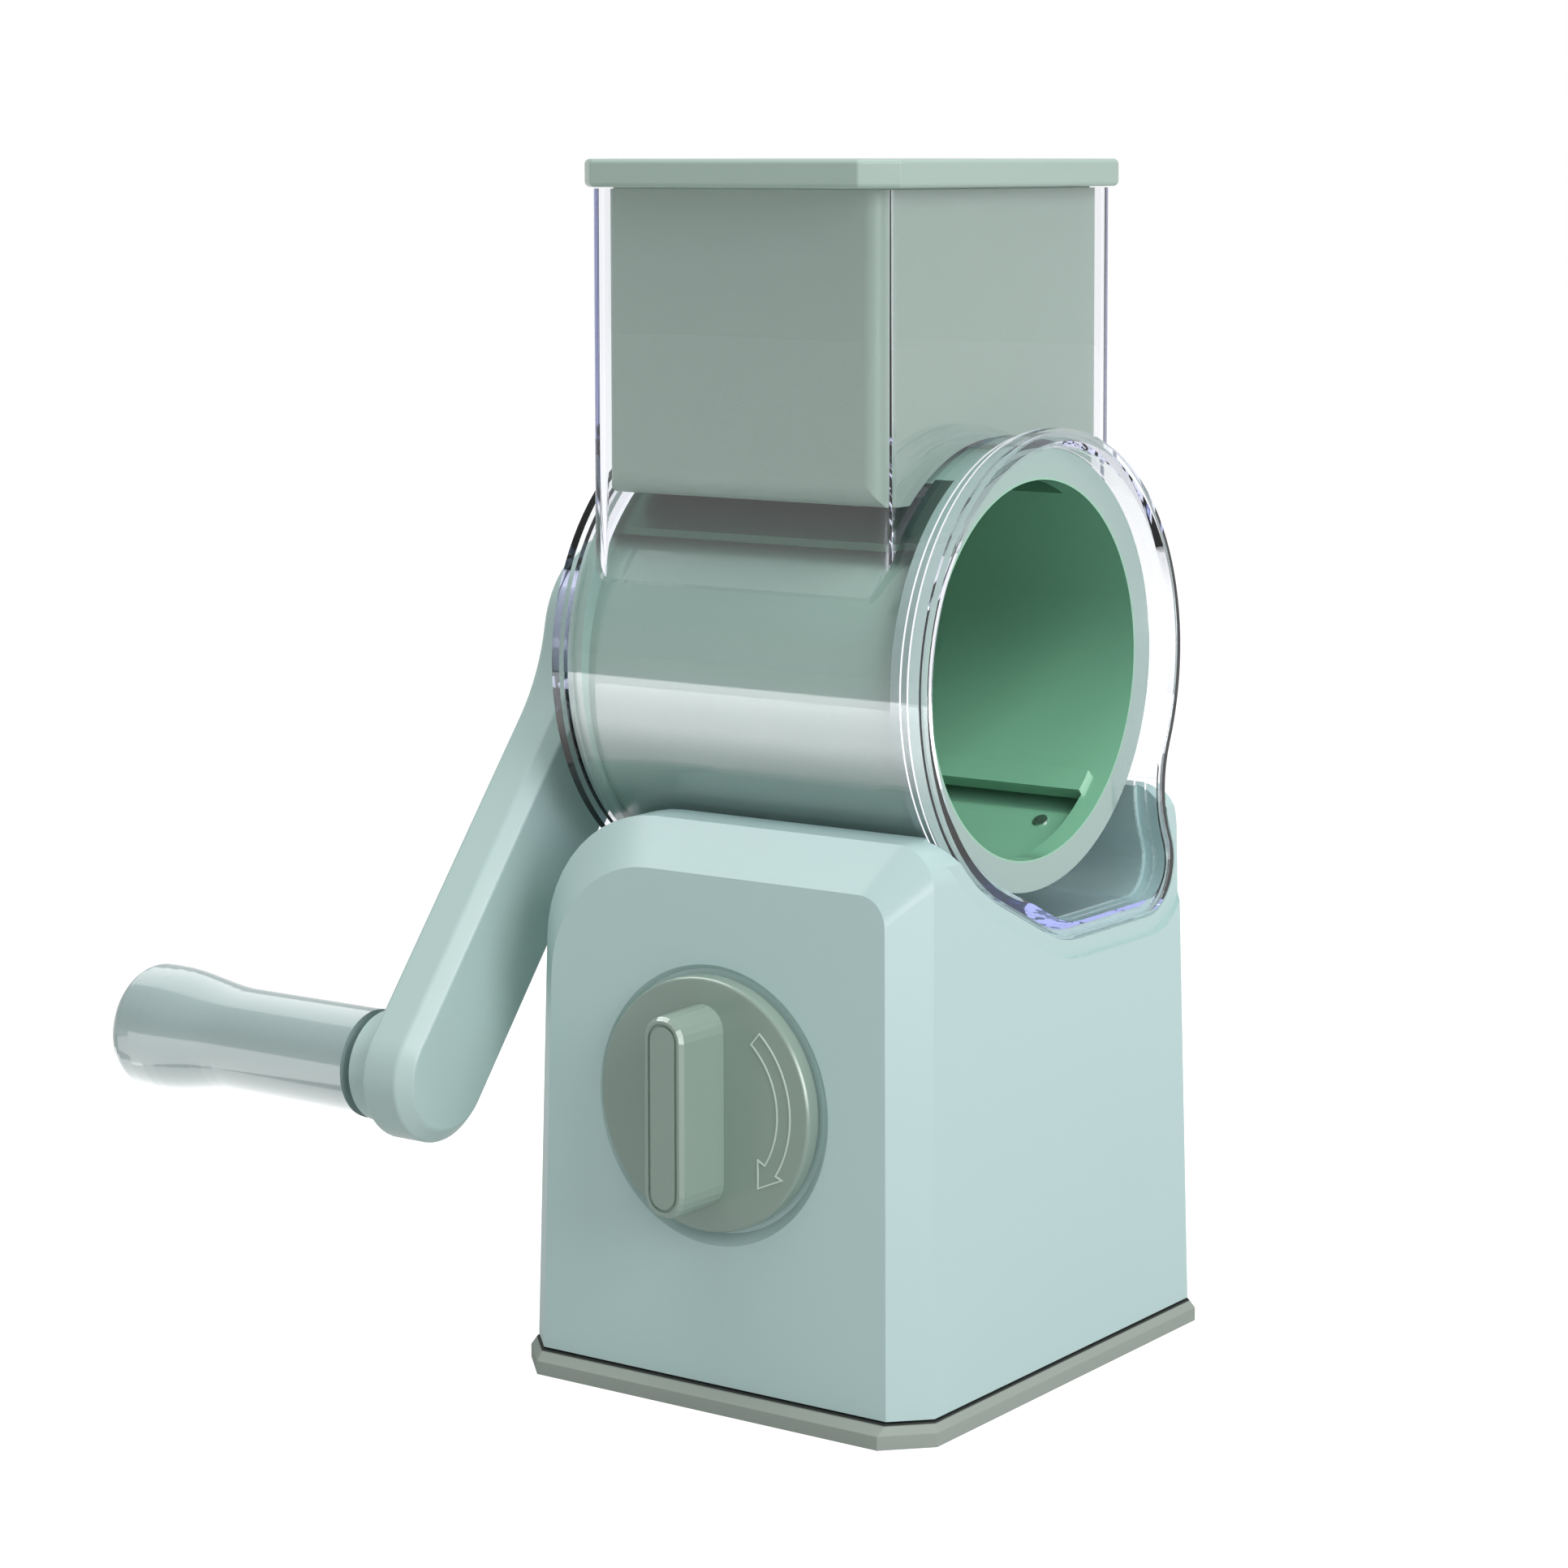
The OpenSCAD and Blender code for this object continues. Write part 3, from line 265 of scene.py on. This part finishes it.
def make_mould_flow():
    """Slow waves that the melt leaves in a clear wall, and the patches where its tint is stronger."""
    tree, given, out = new_group(
        "mould_flow",
        [("Place", VECTOR, None), ("Wave Size", VALUE, 25)],
        [("Height", VALUE), ("Tint Share", VALUE)])
    wave = noise(tree, given["Place"], given["Wave Size"], detail=1)
    tint = noise(tree, given["Place"], scale=60, detail=2)
    put_out(tree, out, Height=wave, Tint_Share=span(tree, tint, 0.35, 0.65))
    return tree


moulded_skin = make_moulded_skin()
drawn_steel = make_drawn_steel()
mould_flow = make_mould_flow()


# Materials

BUMP_DISTANCE = 0.05
WAVE_DISTANCE = 0.4


def shader_of(material):
    """The material's tree with nothing but its Principled shader, and the place on the piece."""
    material.use_nodes = True
    tree = material.node_tree
    tree.nodes.clear()
    out = tree.nodes.new("ShaderNodeOutputMaterial")
    shader = tree.nodes.new("ShaderNodeBsdfPrincipled")
    tree.links.new(shader.outputs[0], out.inputs["Surface"])
    where = tree.nodes.new("ShaderNodeTexCoord")
    return tree, shader, where.outputs["Object"]


def skin_shader(tree, shader, skin, strength):
    """Feeds the shader's colour, roughness and relief from a skin's group node."""
    sockets = {"Strength": strength, "Distance": BUMP_DISTANCE * MM, "Height": skin.outputs["Height"]}
    relief = wire(tree, "ShaderNodeBump", sockets)
    tree.links.new(skin.outputs["Colour"], shader.inputs["Base Color"])
    tree.links.new(skin.outputs["Sheen"], shader.inputs["Roughness"])
    tree.links.new(relief.outputs[0], shader.inputs["Normal"])


def satin_plastic(name, colour, sheen=(0.3, 0.4), grain=1400, grain_depth=0.04, cloud=0.02, gloss=0.5,
                  coat=0.0, coat_sheen=0.08):
    """Moulded plastic in one colour, with grain, clouds and an uneven sheen."""
    material = bpy.data.materials.new(name)
    tree, shader, where = shader_of(material)
    sockets = {"Place": where, "Colour": (*colour, 1), "Grain Size": grain, "Cloud Depth": cloud,
        "Sheen Low": sheen[0], "Sheen High": sheen[1]}
    skin = wire(tree, "ShaderNodeGroup", sockets, node_tree=moulded_skin)
    skin_shader(tree, shader, skin, strength=grain_depth)
    shader.inputs["IOR"].default_value = 1.5
    shader.inputs["Specular IOR Level"].default_value = gloss
    shader.inputs["Coat Weight"].default_value = coat
    shader.inputs["Coat Roughness"].default_value = coat_sheen
    return material


def steel(name, colour, along, sheen=(0.2, 0.34), edge=(1, 1, 1)):
    """Steel with fine lines along the part, and a tint where it is seen edge on."""
    material = bpy.data.materials.new(name)
    tree, shader, where = shader_of(material)
    sockets = {"Place": where, "Along": along, "Colour": (*colour, 1),
        "Sheen Low": sheen[0], "Sheen High": sheen[1]}
    lines = wire(tree, "ShaderNodeGroup", sockets, node_tree=drawn_steel)
    skin_shader(tree, shader, lines, strength=0.12)
    shader.inputs["Metallic"].default_value = 1.0
    shader.inputs["Specular Tint"].default_value = (*edge, 1)
    return material


def clear_plastic(name):
    """Polished clear plastic, lavender where it is thick or seen edge on, that lets the lamps through."""
    face_tint = (0.975, 0.98, 0.985, 1)
    edge_tint, pale_edge_tint = (0.80, 0.84, 1.0, 1), (0.90, 0.93, 1.0, 1)
    lamp_tint = (0.97, 0.985, 0.98, 1)
    depth_tint, depth_density = (0.70, 0.75, 1.0, 1), 22

    material = bpy.data.materials.new(name)
    tree, shader, where = shader_of(material)
    flow = wire(tree, "ShaderNodeGroup", {"Place": where}, node_tree=mould_flow)
    facing = wire(tree, "ShaderNodeLayerWeight", {"Blend": 0.5}).outputs["Facing"]
    tint = blend_colours(tree, flow.outputs["Tint Share"], edge_tint, pale_edge_tint)
    colour = blend_colours(tree, span(tree, facing, 0.72, 0.97), face_tint, tint)
    tree.links.new(colour, shader.inputs["Base Color"])
    sockets = {"Strength": 0.03, "Distance": WAVE_DISTANCE * MM, "Height": flow.outputs["Height"]}
    relief = wire(tree, "ShaderNodeBump", sockets)
    tree.links.new(relief.outputs[0], shader.inputs["Normal"])
    shader.inputs["Roughness"].default_value = 0.0
    shader.inputs["IOR"].default_value = 1.49
    shader.inputs["Transmission Weight"].default_value = 1.0

    path = tree.nodes.new("ShaderNodeLightPath").outputs
    lamp_ray = maths(tree, "MAXIMUM", path["Is Shadow Ray"], path["Is Diffuse Ray"])
    through = wire(tree, "ShaderNodeBsdfTransparent", {"Color": lamp_tint})
    surface = blend_shaders(tree, lamp_ray, shader, through)
    out = node_of(tree, "OUTPUT_MATERIAL")
    tree.links.new(surface.outputs[0], out.inputs["Surface"])
    depth = wire(tree, "ShaderNodeVolumeAbsorption", {"Color": depth_tint, "Density": depth_density})
    tree.links.new(depth.outputs[0], out.inputs["Volume"])
    return material


def skin_sockets(material):
    """A moulded material's tree, its places on the piece, and its skin's colour socket and colour."""
    tree = material.node_tree
    paint = node_of(tree, "GROUP").inputs["Colour"]
    return tree, node_of(tree, "TEX_COORD").outputs, paint, tuple(paint.default_value)


def paint_drum_light_and_shade(material, skin, mouth):
    """Painted light and shade on one green plastic: the outer skin a greyer green than the shaded bore, and
    the mouth ring, which catches the light, a greyer one still.
    """
    tree, places, paint, bore = skin_sockets(material)
    centred = vector_maths(tree, "ADD", places["Object"], (0, 0, -DRUM_Z * MM))
    across = vector_maths(tree, "MULTIPLY", centred, (0, 1, 1))
    radius = wire(tree, "ShaderNodeVectorMath", {0: across}, operation="LENGTH").outputs["Value"]
    along = wire(tree, "ShaderNodeSeparateXYZ", {0: places["Object"]}).outputs["X"]
    outward = wire(tree, "ShaderNodeVectorMath", {0: across, 1: places["Normal"]}, operation="DOT_PRODUCT")
    round_wall = step(tree, outward.outputs["Value"], SKIN_REACH)
    back_end = step(tree, along, DRUM_BACK, before=1.0, after=0.0)
    lit_skin_share = maths(tree, "MAXIMUM", round_wall, back_end)
    ring = maths(tree, "MULTIPLY", step(tree, along, RING_FACE), step(tree, radius, RING_RADIUS))
    bore_shade_and_skin_light = blend_colours(tree, lit_skin_share, bore, (*skin, 1))
    tree.links.new(blend_colours(tree, ring, bore_shade_and_skin_light, (*mouth, 1)), paint)


def paint_seam_shade(material, shade):
    """Paints shade on the foot's topmost step, which the shell's lower edge leaves in shadow."""
    tree, places, paint, rubber = skin_sockets(material)
    height = wire(tree, "ShaderNodeSeparateXYZ", {0: places["Object"]}).outputs["Z"]
    tree.links.new(blend_colours(tree, step(tree, height, FOOT_SEAM_SHADE), rubber, (*shade, 1)), paint)


# Finishes of the slicer's pieces

body_sage = satin_plastic(
    "body_sage", colour=(0.452, 0.617, 0.597), sheen=(0.32, 0.36), grain_depth=0.02, cloud=0.01)
frame_grey = satin_plastic(
    "frame_grey", colour=(0.305, 0.376, 0.342), sheen=(0.5, 0.62), grain_depth=0.12)
foot_rubber = satin_plastic(
    "foot_rubber", colour=(0.305, 0.352, 0.314), sheen=(0.55, 0.7), grain=900, grain_depth=0.25,
    cloud=0.08, gloss=0.35)
# Painted shade: a dark line on the foot where the shell's lower edge shades it
paint_seam_shade(foot_rubber, shade=(0.02, 0.025, 0.022))
post_white = satin_plastic(
    "post_white", colour=(0.75, 0.77, 0.75), sheen=(0.35, 0.45))
knob_grey = satin_plastic(
    "knob_grey", colour=(0.252, 0.336, 0.287), sheen=(0.22, 0.28), grain_depth=0.03)
bush_white = satin_plastic(
    "bush_white", colour=(0.80, 0.82, 0.81), sheen=(0.35, 0.45))
drum_green = satin_plastic(
    "drum_green", colour=(0.145, 0.34, 0.225), sheen=(0.26, 0.34), grain_depth=0.01, coat=1.0,
    coat_sheen=0.03)
# Painted light and shade: the drum's bore keeps the deep green of its shade, and its skin and mouth ring get
# greyer greens for the light they catch
paint_drum_light_and_shade(drum_green, skin=(0.17, 0.275, 0.225), mouth=(0.18, 0.262, 0.24))
arm_sage = satin_plastic(
    "arm_sage", colour=(0.42, 0.56, 0.53), sheen=(0.26, 0.32), grain_depth=0.03)
grip_sage = satin_plastic(
    "grip_sage", colour=(0.30, 0.395, 0.385), sheen=(0.26, 0.34), grain_depth=0.01, coat=1.0,
    coat_sheen=0.03)
# Partly painted shade: the pusher's own sage, darkened for the shade that the lid and the clear chute cast on
# its front
pusher_sage_and_shade = satin_plastic(
    "pusher_sage_and_shade", colour=(0.262, 0.355, 0.29), sheen=(0.34, 0.42), grain_depth=0.015)
lid_sage = satin_plastic(
    "lid_sage", colour=(0.365, 0.48, 0.42), sheen=(0.32, 0.40), grain_depth=0.03)
seal_black = satin_plastic(
    "seal_black", colour=(0.035, 0.04, 0.038), sheen=(0.5, 0.65), grain_depth=0.2)
mark_pale = satin_plastic(
    "mark_pale", colour=(0.56, 0.66, 0.60), sheen=(0.25, 0.32))
shaft_steel = steel(
    "shaft_steel", colour=(0.62, 0.63, 0.64), along=(0.04, 1, 1))
screw_steel = steel(
    "screw_steel", colour=(0.60, 0.61, 0.62), along=(1, 1, 1), sheen=(0.25, 0.38))
# Painted shade: the blade's steel is a near-black green, with a green edge tint, for the shadow it lies in
# under the pusher
blade_steel = steel(
    "blade_steel", colour=(0.05, 0.105, 0.075), along=(0.03, 1, 1), sheen=(0.34, 0.42),
    edge=(0.2, 0.36, 0.28))
housing_clear = clear_plastic("housing_clear")


def dress(piece, material):
    """Puts one material on every slot of a piece."""
    if not piece.material_slots:
        piece.data.materials.append(material)
    for slot in piece.material_slots:
        slot.material = material


# Modelling by hand


def take(piece):
    """Deselects everything, then selects one piece and makes it active."""
    if bpy.context.object and bpy.context.object.mode != "OBJECT":
        bpy.ops.object.mode_set(mode="OBJECT")
    bpy.ops.object.select_all(action="DESELECT")
    piece.select_set(True)
    bpy.context.view_layer.objects.active = piece


def pick(piece, kind, test):
    """In edit mode, selects the vertices, edges or faces that pass the test.

    The test gets the middle in millimetres, and the normal or, for an edge, its direction.
    """
    bpy.ops.mesh.select_mode(type=kind)
    bpy.ops.mesh.select_all(action="DESELECT")
    bpy.ops.object.mode_set(mode="OBJECT")
    mesh = piece.data
    if kind == "VERT":
        for corner in mesh.vertices:
            corner.select = test(corner.co / MM, corner.normal)
    elif kind == "EDGE":
        for edge in mesh.edges:
            a, b = (mesh.vertices[i].co for i in edge.vertices)
            edge.select = test((a + b) / 2 / MM, (b - a).normalized())
    else:
        for face in mesh.polygons:
            face.select = test(face.center / MM, face.normal)
    bpy.ops.object.mode_set(mode="EDIT")


def straighten_normals():
    """In edit mode, turns all faces outwards."""
    bpy.ops.mesh.select_all(action="SELECT")
    bpy.ops.mesh.normals_make_consistent(inside=False)


def finish_piece(piece, name, body, material, smooth):
    """Puts a piece's place in its mesh, smooths it by angle, and gives it its name, body and finish."""
    take(piece)
    bpy.ops.object.transform_apply(location=True, rotation=True, scale=True)
    bpy.ops.object.shade_smooth_by_angle(angle=math.radians(smooth))
    piece.name = name
    piece.data.name = name
    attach(piece, body)
    dress(piece, material)


def refill(piece, x):
    """Takes away the flat faces at one X and fills their outline again, holes left open."""
    pick(piece, "FACE", lambda spot, normal: abs(spot.x - x) < TOUCH_GAP and abs(normal.x) > 0.99)
    bpy.ops.mesh.delete(type="FACE")
    pick(piece, "EDGE", lambda spot, way: abs(spot.x - x) < TOUCH_GAP and abs(way.x) < 0.01)
    bpy.ops.mesh.fill()


def merged_copy(node, name, flats):
    """A copy of a CAD node with its triangles joined, and the flats at the given X filled anew."""
    mesh = parts[node].data.copy()
    piece = bpy.data.objects.new(name, mesh)
    bpy.context.scene.collection.objects.link(piece)
    take(piece)
    if mesh.has_custom_normals:
        bpy.ops.mesh.customdata_custom_splitnormals_clear()
    bpy.ops.object.mode_set(mode="EDIT")
    bpy.ops.mesh.select_all(action="SELECT")
    bpy.ops.mesh.remove_doubles(threshold=MERGE_GAP * MM)
    for x in flats:
        refill(piece, x)
    bpy.ops.mesh.select_mode(type="VERT")
    straighten_normals()
    bpy.ops.mesh.dissolve_limited(angle_limit=math.radians(FLAT_ANGLE))
    bpy.ops.object.mode_set(mode="OBJECT")
    return piece


def softened(node, name, material, edge, flats=()):
    """A merged copy of a CAD node with its hard edges rounded, which then stands for the node."""
    piece = merged_copy(node, name, flats)
    rounding = piece.modifiers.new("rounding", "BEVEL")
    rounding.width = edge * MM
    rounding.segments = ROUND_STEPS
    rounding.limit_method = "ANGLE"
    rounding.angle_limit = math.radians(SHARP_ANGLE)
    rounding.use_clamp_overlap = True
    rounding.miter_outer = "MITER_ARC"
    bpy.ops.object.modifier_apply(modifier=rounding.name)
    finish_piece(piece, name, parts[node]["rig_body"], material, SMOOTH_ANGLE)
    even = piece.modifiers.new("even_normals", "WEIGHTED_NORMAL")
    even.keep_sharp = True
    bpy.ops.object.modifier_apply(modifier=even.name)
    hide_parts(node)
    return piece


def on_disc(radius, degrees):
    """A place on the knob's disc, in metres."""
    angle = math.radians(degrees)
    return Vector((radius * math.cos(angle), DISC_FRONT, KNOB_Z + radius * math.sin(angle))) * MM


def pick_places(piece, places):
    """In edit mode, selects the vertices that lie on the given places."""
    pick(piece, "VERT", lambda spot, normal: min((spot * MM - place).length for place in places)
        < TOUCH_GAP * MM)


def arrow_band():
    """The arrow's curved band: one edge of a plane, set across the band and spun about the knob."""
    bpy.ops.object.select_all(action="DESELECT")
    bpy.ops.mesh.primitive_plane_add(
        size=(BAND_OUTER - BAND_INNER) * MM, location=on_disc((BAND_INNER + BAND_OUTER) / 2, BAND_START))
    piece = bpy.context.object
    bpy.ops.object.transform_apply(location=True, rotation=True, scale=True)
    middle_y = sum(corner.co.y for corner in piece.data.vertices) / len(piece.data.vertices) / MM
    bpy.ops.object.mode_set(mode="EDIT")
    pick(piece, "VERT", lambda spot, normal: spot.y > middle_y)
    bpy.ops.mesh.delete(type="VERT")
    bpy.ops.object.mode_set(mode="OBJECT")
    inner, outer = sorted(piece.data.vertices, key=lambda corner: corner.co.x)
    inner.co = on_disc(BAND_INNER, BAND_START)
    outer.co = on_disc(BAND_OUTER, BAND_START)
    bpy.ops.object.mode_set(mode="EDIT")
    bpy.ops.mesh.select_all(action="SELECT")
    bpy.ops.mesh.spin(steps=BAND_STEPS, angle=math.radians(BAND_START - BAND_END), center=on_disc(0, 0),
        axis=(0, -1, 0))
    return piece


def arrow_head(piece):
    """The arrow's head: the band's end drawn to a point, with a wing on each side."""
    inner, outer = on_disc(BAND_INNER, BAND_END), on_disc(BAND_OUTER, BAND_END)
    point = on_disc(*ARROW_TIP)
    pick_places(piece, (inner, outer))
    bpy.ops.mesh.extrude_region_move(TRANSFORM_OT_translate={"value": point - (inner + outer) / 2})
    bpy.ops.mesh.merge(type="CENTER")
    bpy.ops.object.mode_set(mode="OBJECT")
    next(corner for corner in piece.data.vertices if corner.select).co = point
    bpy.ops.object.mode_set(mode="EDIT")
    for root, wing in ((inner, on_disc(*INNER_WING)), (outer, on_disc(*OUTER_WING))):
        pick_places(piece, (root,))
        bpy.ops.mesh.extrude_vertices_move(TRANSFORM_OT_translate={"value": wing - root})
        pick_places(piece, (wing, root, point))
        bpy.ops.mesh.edge_face_add()


def turn_arrow():
    """Thin raised outline of a turn arrow on the knob's disc."""
    piece = arrow_band()
    arrow_head(piece)
    straighten_normals()
    bpy.ops.mesh.select_mode(type="FACE")
    bpy.ops.mesh.select_all(action="SELECT")
    bpy.ops.mesh.inset(thickness=ARROW_LINE * MM, use_boundary=True, use_even_offset=True)
    bpy.ops.mesh.delete(type="FACE")
    bpy.ops.object.mode_set(mode="OBJECT")
    wall = piece.modifiers.new("wall", "SOLIDIFY")
    wall.thickness = ARROW_RISE * MM
    wall.offset = 0
    bpy.ops.object.modifier_apply(modifier=wall.name)
    bpy.ops.object.mode_set(mode="EDIT")
    straighten_normals()
    finish_piece(piece, "turn_arrow", "knob", mark_pale, ARROW_SMOOTH_ANGLE)


# Pieces that stand for CAD nodes, with their edges rounded, and the knob's arrow

body_shell = softened("base_housing", "body_shell", body_sage, edge=0.9)
softened("suction_pad", "foot_ring", foot_rubber, edge=0.5)
softened("crank_arm", "arm_shell", arm_sage, edge=0.5, flats=ARM_FLATS)
softened("pusher_lid", "lid_cap", lid_sage, edge=0.4)
turn_arrow()

# CAD nodes that keep their shape and get their finish

FINISHES = (
    (knob_grey, ("suction_knob",)),
    (frame_grey, ("inner_frame",)),
    (post_white, ("suction_post", "lift_cam")),
    (housing_clear, ("drum_housing",)),
    (bush_white, ("shaft_bush",)),
    (drum_green, ("drum_frame",)),
    (blade_steel, ("front_blade", "rear_blade")),
    (arm_sage, ("hub_cap", "grip_collar")),
    (seal_black, ("shaft_seal",)),
    (grip_sage, ("grip", "grip_cap")),
    (pusher_sage_and_shade, ("pusher_body",)),
    (shaft_steel, ("drive_shaft", "grip_axle")),
    (screw_steel, ("frame_screws", "cam_washer", "cam_screw", "blade_rivets", "shaft_screw",
        "shaft_clip", "axle_washer", "axle_screw")),
)
for finish, nodes in FINISHES:
    for node in nodes:
        dress(parts[node], finish)


# Floor, room and lamps, in metres

WHITE = (1, 1, 1, 1)
FLOOR_SIZE = 8
CARD_HEIGHT = 0.001
ROOM_MIDDLE = (0, 0, 0.13)
GRIP_MIDDLE = (-0.12, -0.07, 0.066)
RIGHT_FRONT = (1.25, -0.87, 0.2)
HIGH_LEFT = (-0.85, -0.18, 1.35)


def white_paper():
    """Floor that is white to the eye, keeps the shadow, and is dimmer where the slicer mirrors it."""
    shadow_grey, lit_grey = (0.54, 0.55, 0.55, 1), (0.3, 0.3, 0.3, 1)
    glow_level, near_level = 0.88, 0.40
    near_radius, far_radius = 0.3, 0.8

    paper = bpy.data.materials.new("white_paper")
    paper.use_nodes = True
    tree = paper.node_tree
    tree.nodes.clear()
    out = tree.nodes.new("ShaderNodeOutputMaterial")
    path = tree.nodes.new("ShaderNodeLightPath").outputs
    seen = maths(tree, "MAXIMUM", path["Is Camera Ray"], path["Is Glossy Ray"])
    seen = maths(tree, "MAXIMUM", seen, path["Is Transmission Ray"])
    where = tree.nodes.new("ShaderNodeTexCoord").outputs["Object"]
    reach = wire(tree, "ShaderNodeVectorMath", {0: where}, operation="LENGTH").outputs["Value"]
    mirrored = span(tree, reach, near_radius, far_radius, near_level, glow_level)
    level = wire(tree, "ShaderNodeMix", {0: path["Is Glossy Ray"], 2: glow_level, 3: mirrored}).outputs[0]
    glow = wire(tree, "ShaderNodeEmission", {"Color": WHITE, "Strength": level})
    dim = wire(tree, "ShaderNodeBsdfDiffuse", {"Color": lit_grey})
    lit = wire(tree, "ShaderNodeAddShader", {0: glow.outputs[0], 1: dim.outputs[0]})
    matt = wire(tree, "ShaderNodeBsdfDiffuse", {"Color": shadow_grey})
    surface = blend_shaders(tree, seen, matt, lit)
    tree.links.new(surface.outputs[0], out.inputs["Surface"])
    return paper


def lay_floor():
    """Wide sheet of white paper under the slicer."""
    bpy.ops.object.select_all(action="DESELECT")
    bpy.ops.mesh.primitive_plane_add(size=FLOOR_SIZE, location=(0, 0, 0))
    floor = bpy.context.object
    floor.name = "studio_floor"
    dress(floor, white_paper())


def room_world():
    """White room: plain white to the eye and through the glass, with a dimmer ceiling for gloss and light."""
    air_tone = (0.98, 1, 1)
    light_stops, light_level = ((0.0, 0.44), (1.0, 0.77)), 0.78
    gloss_stops, gloss_level = ((0.0, 0.95), (0.30, 0.42), (1.0, 0.55)), 1.0

    world = bpy.data.worlds.new("studio_world")
    bpy.context.scene.world = world
    world.use_nodes = True
    tree = world.node_tree
    tree.nodes.clear()
    out = tree.nodes.new("ShaderNodeOutputWorld")
    path = tree.nodes.new("ShaderNodeLightPath").outputs
    way = tree.nodes.new("ShaderNodeTexCoord").outputs["Generated"]
    height = wire(tree, "ShaderNodeSeparateXYZ", {0: way}).outputs["Z"]
    light_sky = graded(tree, height, light_stops, tone=air_tone)
    gloss_sky = graded(tree, height, gloss_stops, tone=air_tone)
    light = wire(tree, "ShaderNodeBackground", {"Color": light_sky, "Strength": light_level})
    gloss = wire(tree, "ShaderNodeBackground", {"Color": gloss_sky, "Strength": gloss_level})
    white = wire(tree, "ShaderNodeBackground", {"Color": WHITE, "Strength": 1.0})
    clear = maths(tree, "MAXIMUM", path["Is Camera Ray"], path["Is Transmission Ray"])
    unseen = blend_shaders(tree, path["Is Glossy Ray"], light, gloss)
    room = blend_shaders(tree, clear, unseen, white)
    tree.links.new(room.outputs[0], out.inputs["Surface"])


def lamp(name, place, aim, size, level, tall=None, colour=(1, 1, 1), gloss_only=False, only=()):
    """A soft lamp or, for the gloss alone, a glowing card, which may light only some pieces.

    The level is its brightness, whatever its size.
    """
    light = bpy.data.lights.new(name, "AREA")
    light.energy = level * math.pi * size * (tall or size)
    light.color = colour
    light.size = size
    if tall:
        light.shape = "RECTANGLE"
        light.size_y = tall
    holder = bpy.data.objects.new(name, light)
    bpy.context.scene.collection.objects.link(holder)
    holder.location = place
    holder.rotation_euler = (Vector(aim) - Vector(place)).to_track_quat("-Z", "Y").to_euler()
    holder.visible_camera = False
    holder.visible_diffuse = not gloss_only
    if only:
        group = bpy.data.collections.new(name + "_falls_on")
        for piece in only:
            group.objects.link(piece)
        holder.light_linking.receiver_collection = group
    return holder


def card(name, place, aim, size, level, only, tall=None):
    """A glowing card that shows in the gloss of some pieces alone."""
    return lamp(name, place, aim, size, level, tall=tall, gloss_only=True, only=only)


def floor_card(name, place, size, level, only, turn=0):
    """A glowing card that lies on the floor."""
    lying = card(name, (*place, CARD_HEIGHT), (*place, 1), size[0], level, only, tall=size[1])
    lying.rotation_euler = (math.pi, 0, math.radians(turn))
    return lying


def fade_lamp(holder, stops):
    """Lets a card's brightness change along its length, from one end at 0 to the other at 1."""
    light = holder.data
    light.use_nodes = True
    tree = light.node_tree
    spot = tree.nodes.new("ShaderNodeNewGeometry").outputs["Parametric"]
    along = wire(tree, "ShaderNodeSeparateXYZ", {0: spot}).outputs["Y"]
    tree.links.new(graded(tree, along, stops), node_of(tree, "EMISSION").inputs["Color"])


def light_body_and_knob():
    """The lamps that light all, and the cards for the gloss of body and knob."""
    shell, knob = [body_shell], [parts["suction_knob"]]
    lamp("key_lamp", (1.75, -0.45, 0.95), ROOM_MIDDLE, size=1.1, level=6.3, colour=(1.0, 0.96, 1.0))
    ceiling = lamp("top_lamp", (-0.1, -0.1, 1.75), ROOM_MIDDLE, size=1.2, level=4.0)
    ceiling.visible_glossy = False
    card("corner_card", RIGHT_FRONT, ROOM_MIDDLE, size=0.5, tall=0.6, level=9, only=shell)
    card("brow_card", HIGH_LEFT, ROOM_MIDDLE, size=0.8, level=6, only=shell)
    card("rim_card", RIGHT_FRONT, ROOM_MIDDLE, size=1.8, tall=1.2, level=12, only=knob)
    card("knob_card", HIGH_LEFT, ROOM_MIDDLE, size=1.1, level=9, only=knob)


def light_drum():
    """Two lamps into the drum's mouth, and the floor card that fades up the drum's side."""
    bore = [parts[node] for node in ("drum_frame", "front_blade", "rear_blade", "blade_rivets")]
    lamp("mouth_lamp", (0.62, -0.36, 0.46), (0.02, 0.03, 0.12), size=0.25, level=1.8, only=bore)
    lamp("floor_lamp", (0.42, -0.12, 0.60), (0.01, 0.0, 0.115), size=0.25, level=18, only=bore)
    drum_card = floor_card("drum_card", (-0.50, -0.40), size=(1.8, 0.60), level=3.6,
        only=[parts["drum_frame"], parts["drum_housing"]])
    fade_lamp(drum_card, ((0, 0), (0.1, 0.2), (0.22, 0.62), (0.4, 0.72), (0.6, 0.84), (0.8, 1)))


def light_grip():
    """The cards for the gloss of the grip."""
    grip = [parts["grip"], parts["grip_cap"]]
    floor_card("grip_card", (-0.693, -1.275), size=(0.8, 2.4), level=2.1, only=grip, turn=-41.4)
    floor_card("grip_near_card", (-0.20, 0.0), size=(0.24, 0.24), level=1.6, only=grip)
    card("grip_top_card", (-0.9, 0.35, 1.0), GRIP_MIDDLE, size=1.0, level=1.4, only=grip)


def let_light_bounce():
    """More bounces than usual, so that the clear plastic's edges don't end black."""
    path = bpy.context.scene.cycles
    path.max_bounces = 24
    path.glossy_bounces = 16
    path.transmission_bounces = 20
    path.transparent_max_bounces = 24
    path.diffuse_bounces = 6


lay_floor()
room_world()
light_body_and_knob()
light_drum()
light_grip()
let_light_bounce()

bpy.context.scene.view_settings.view_transform = "Standard"
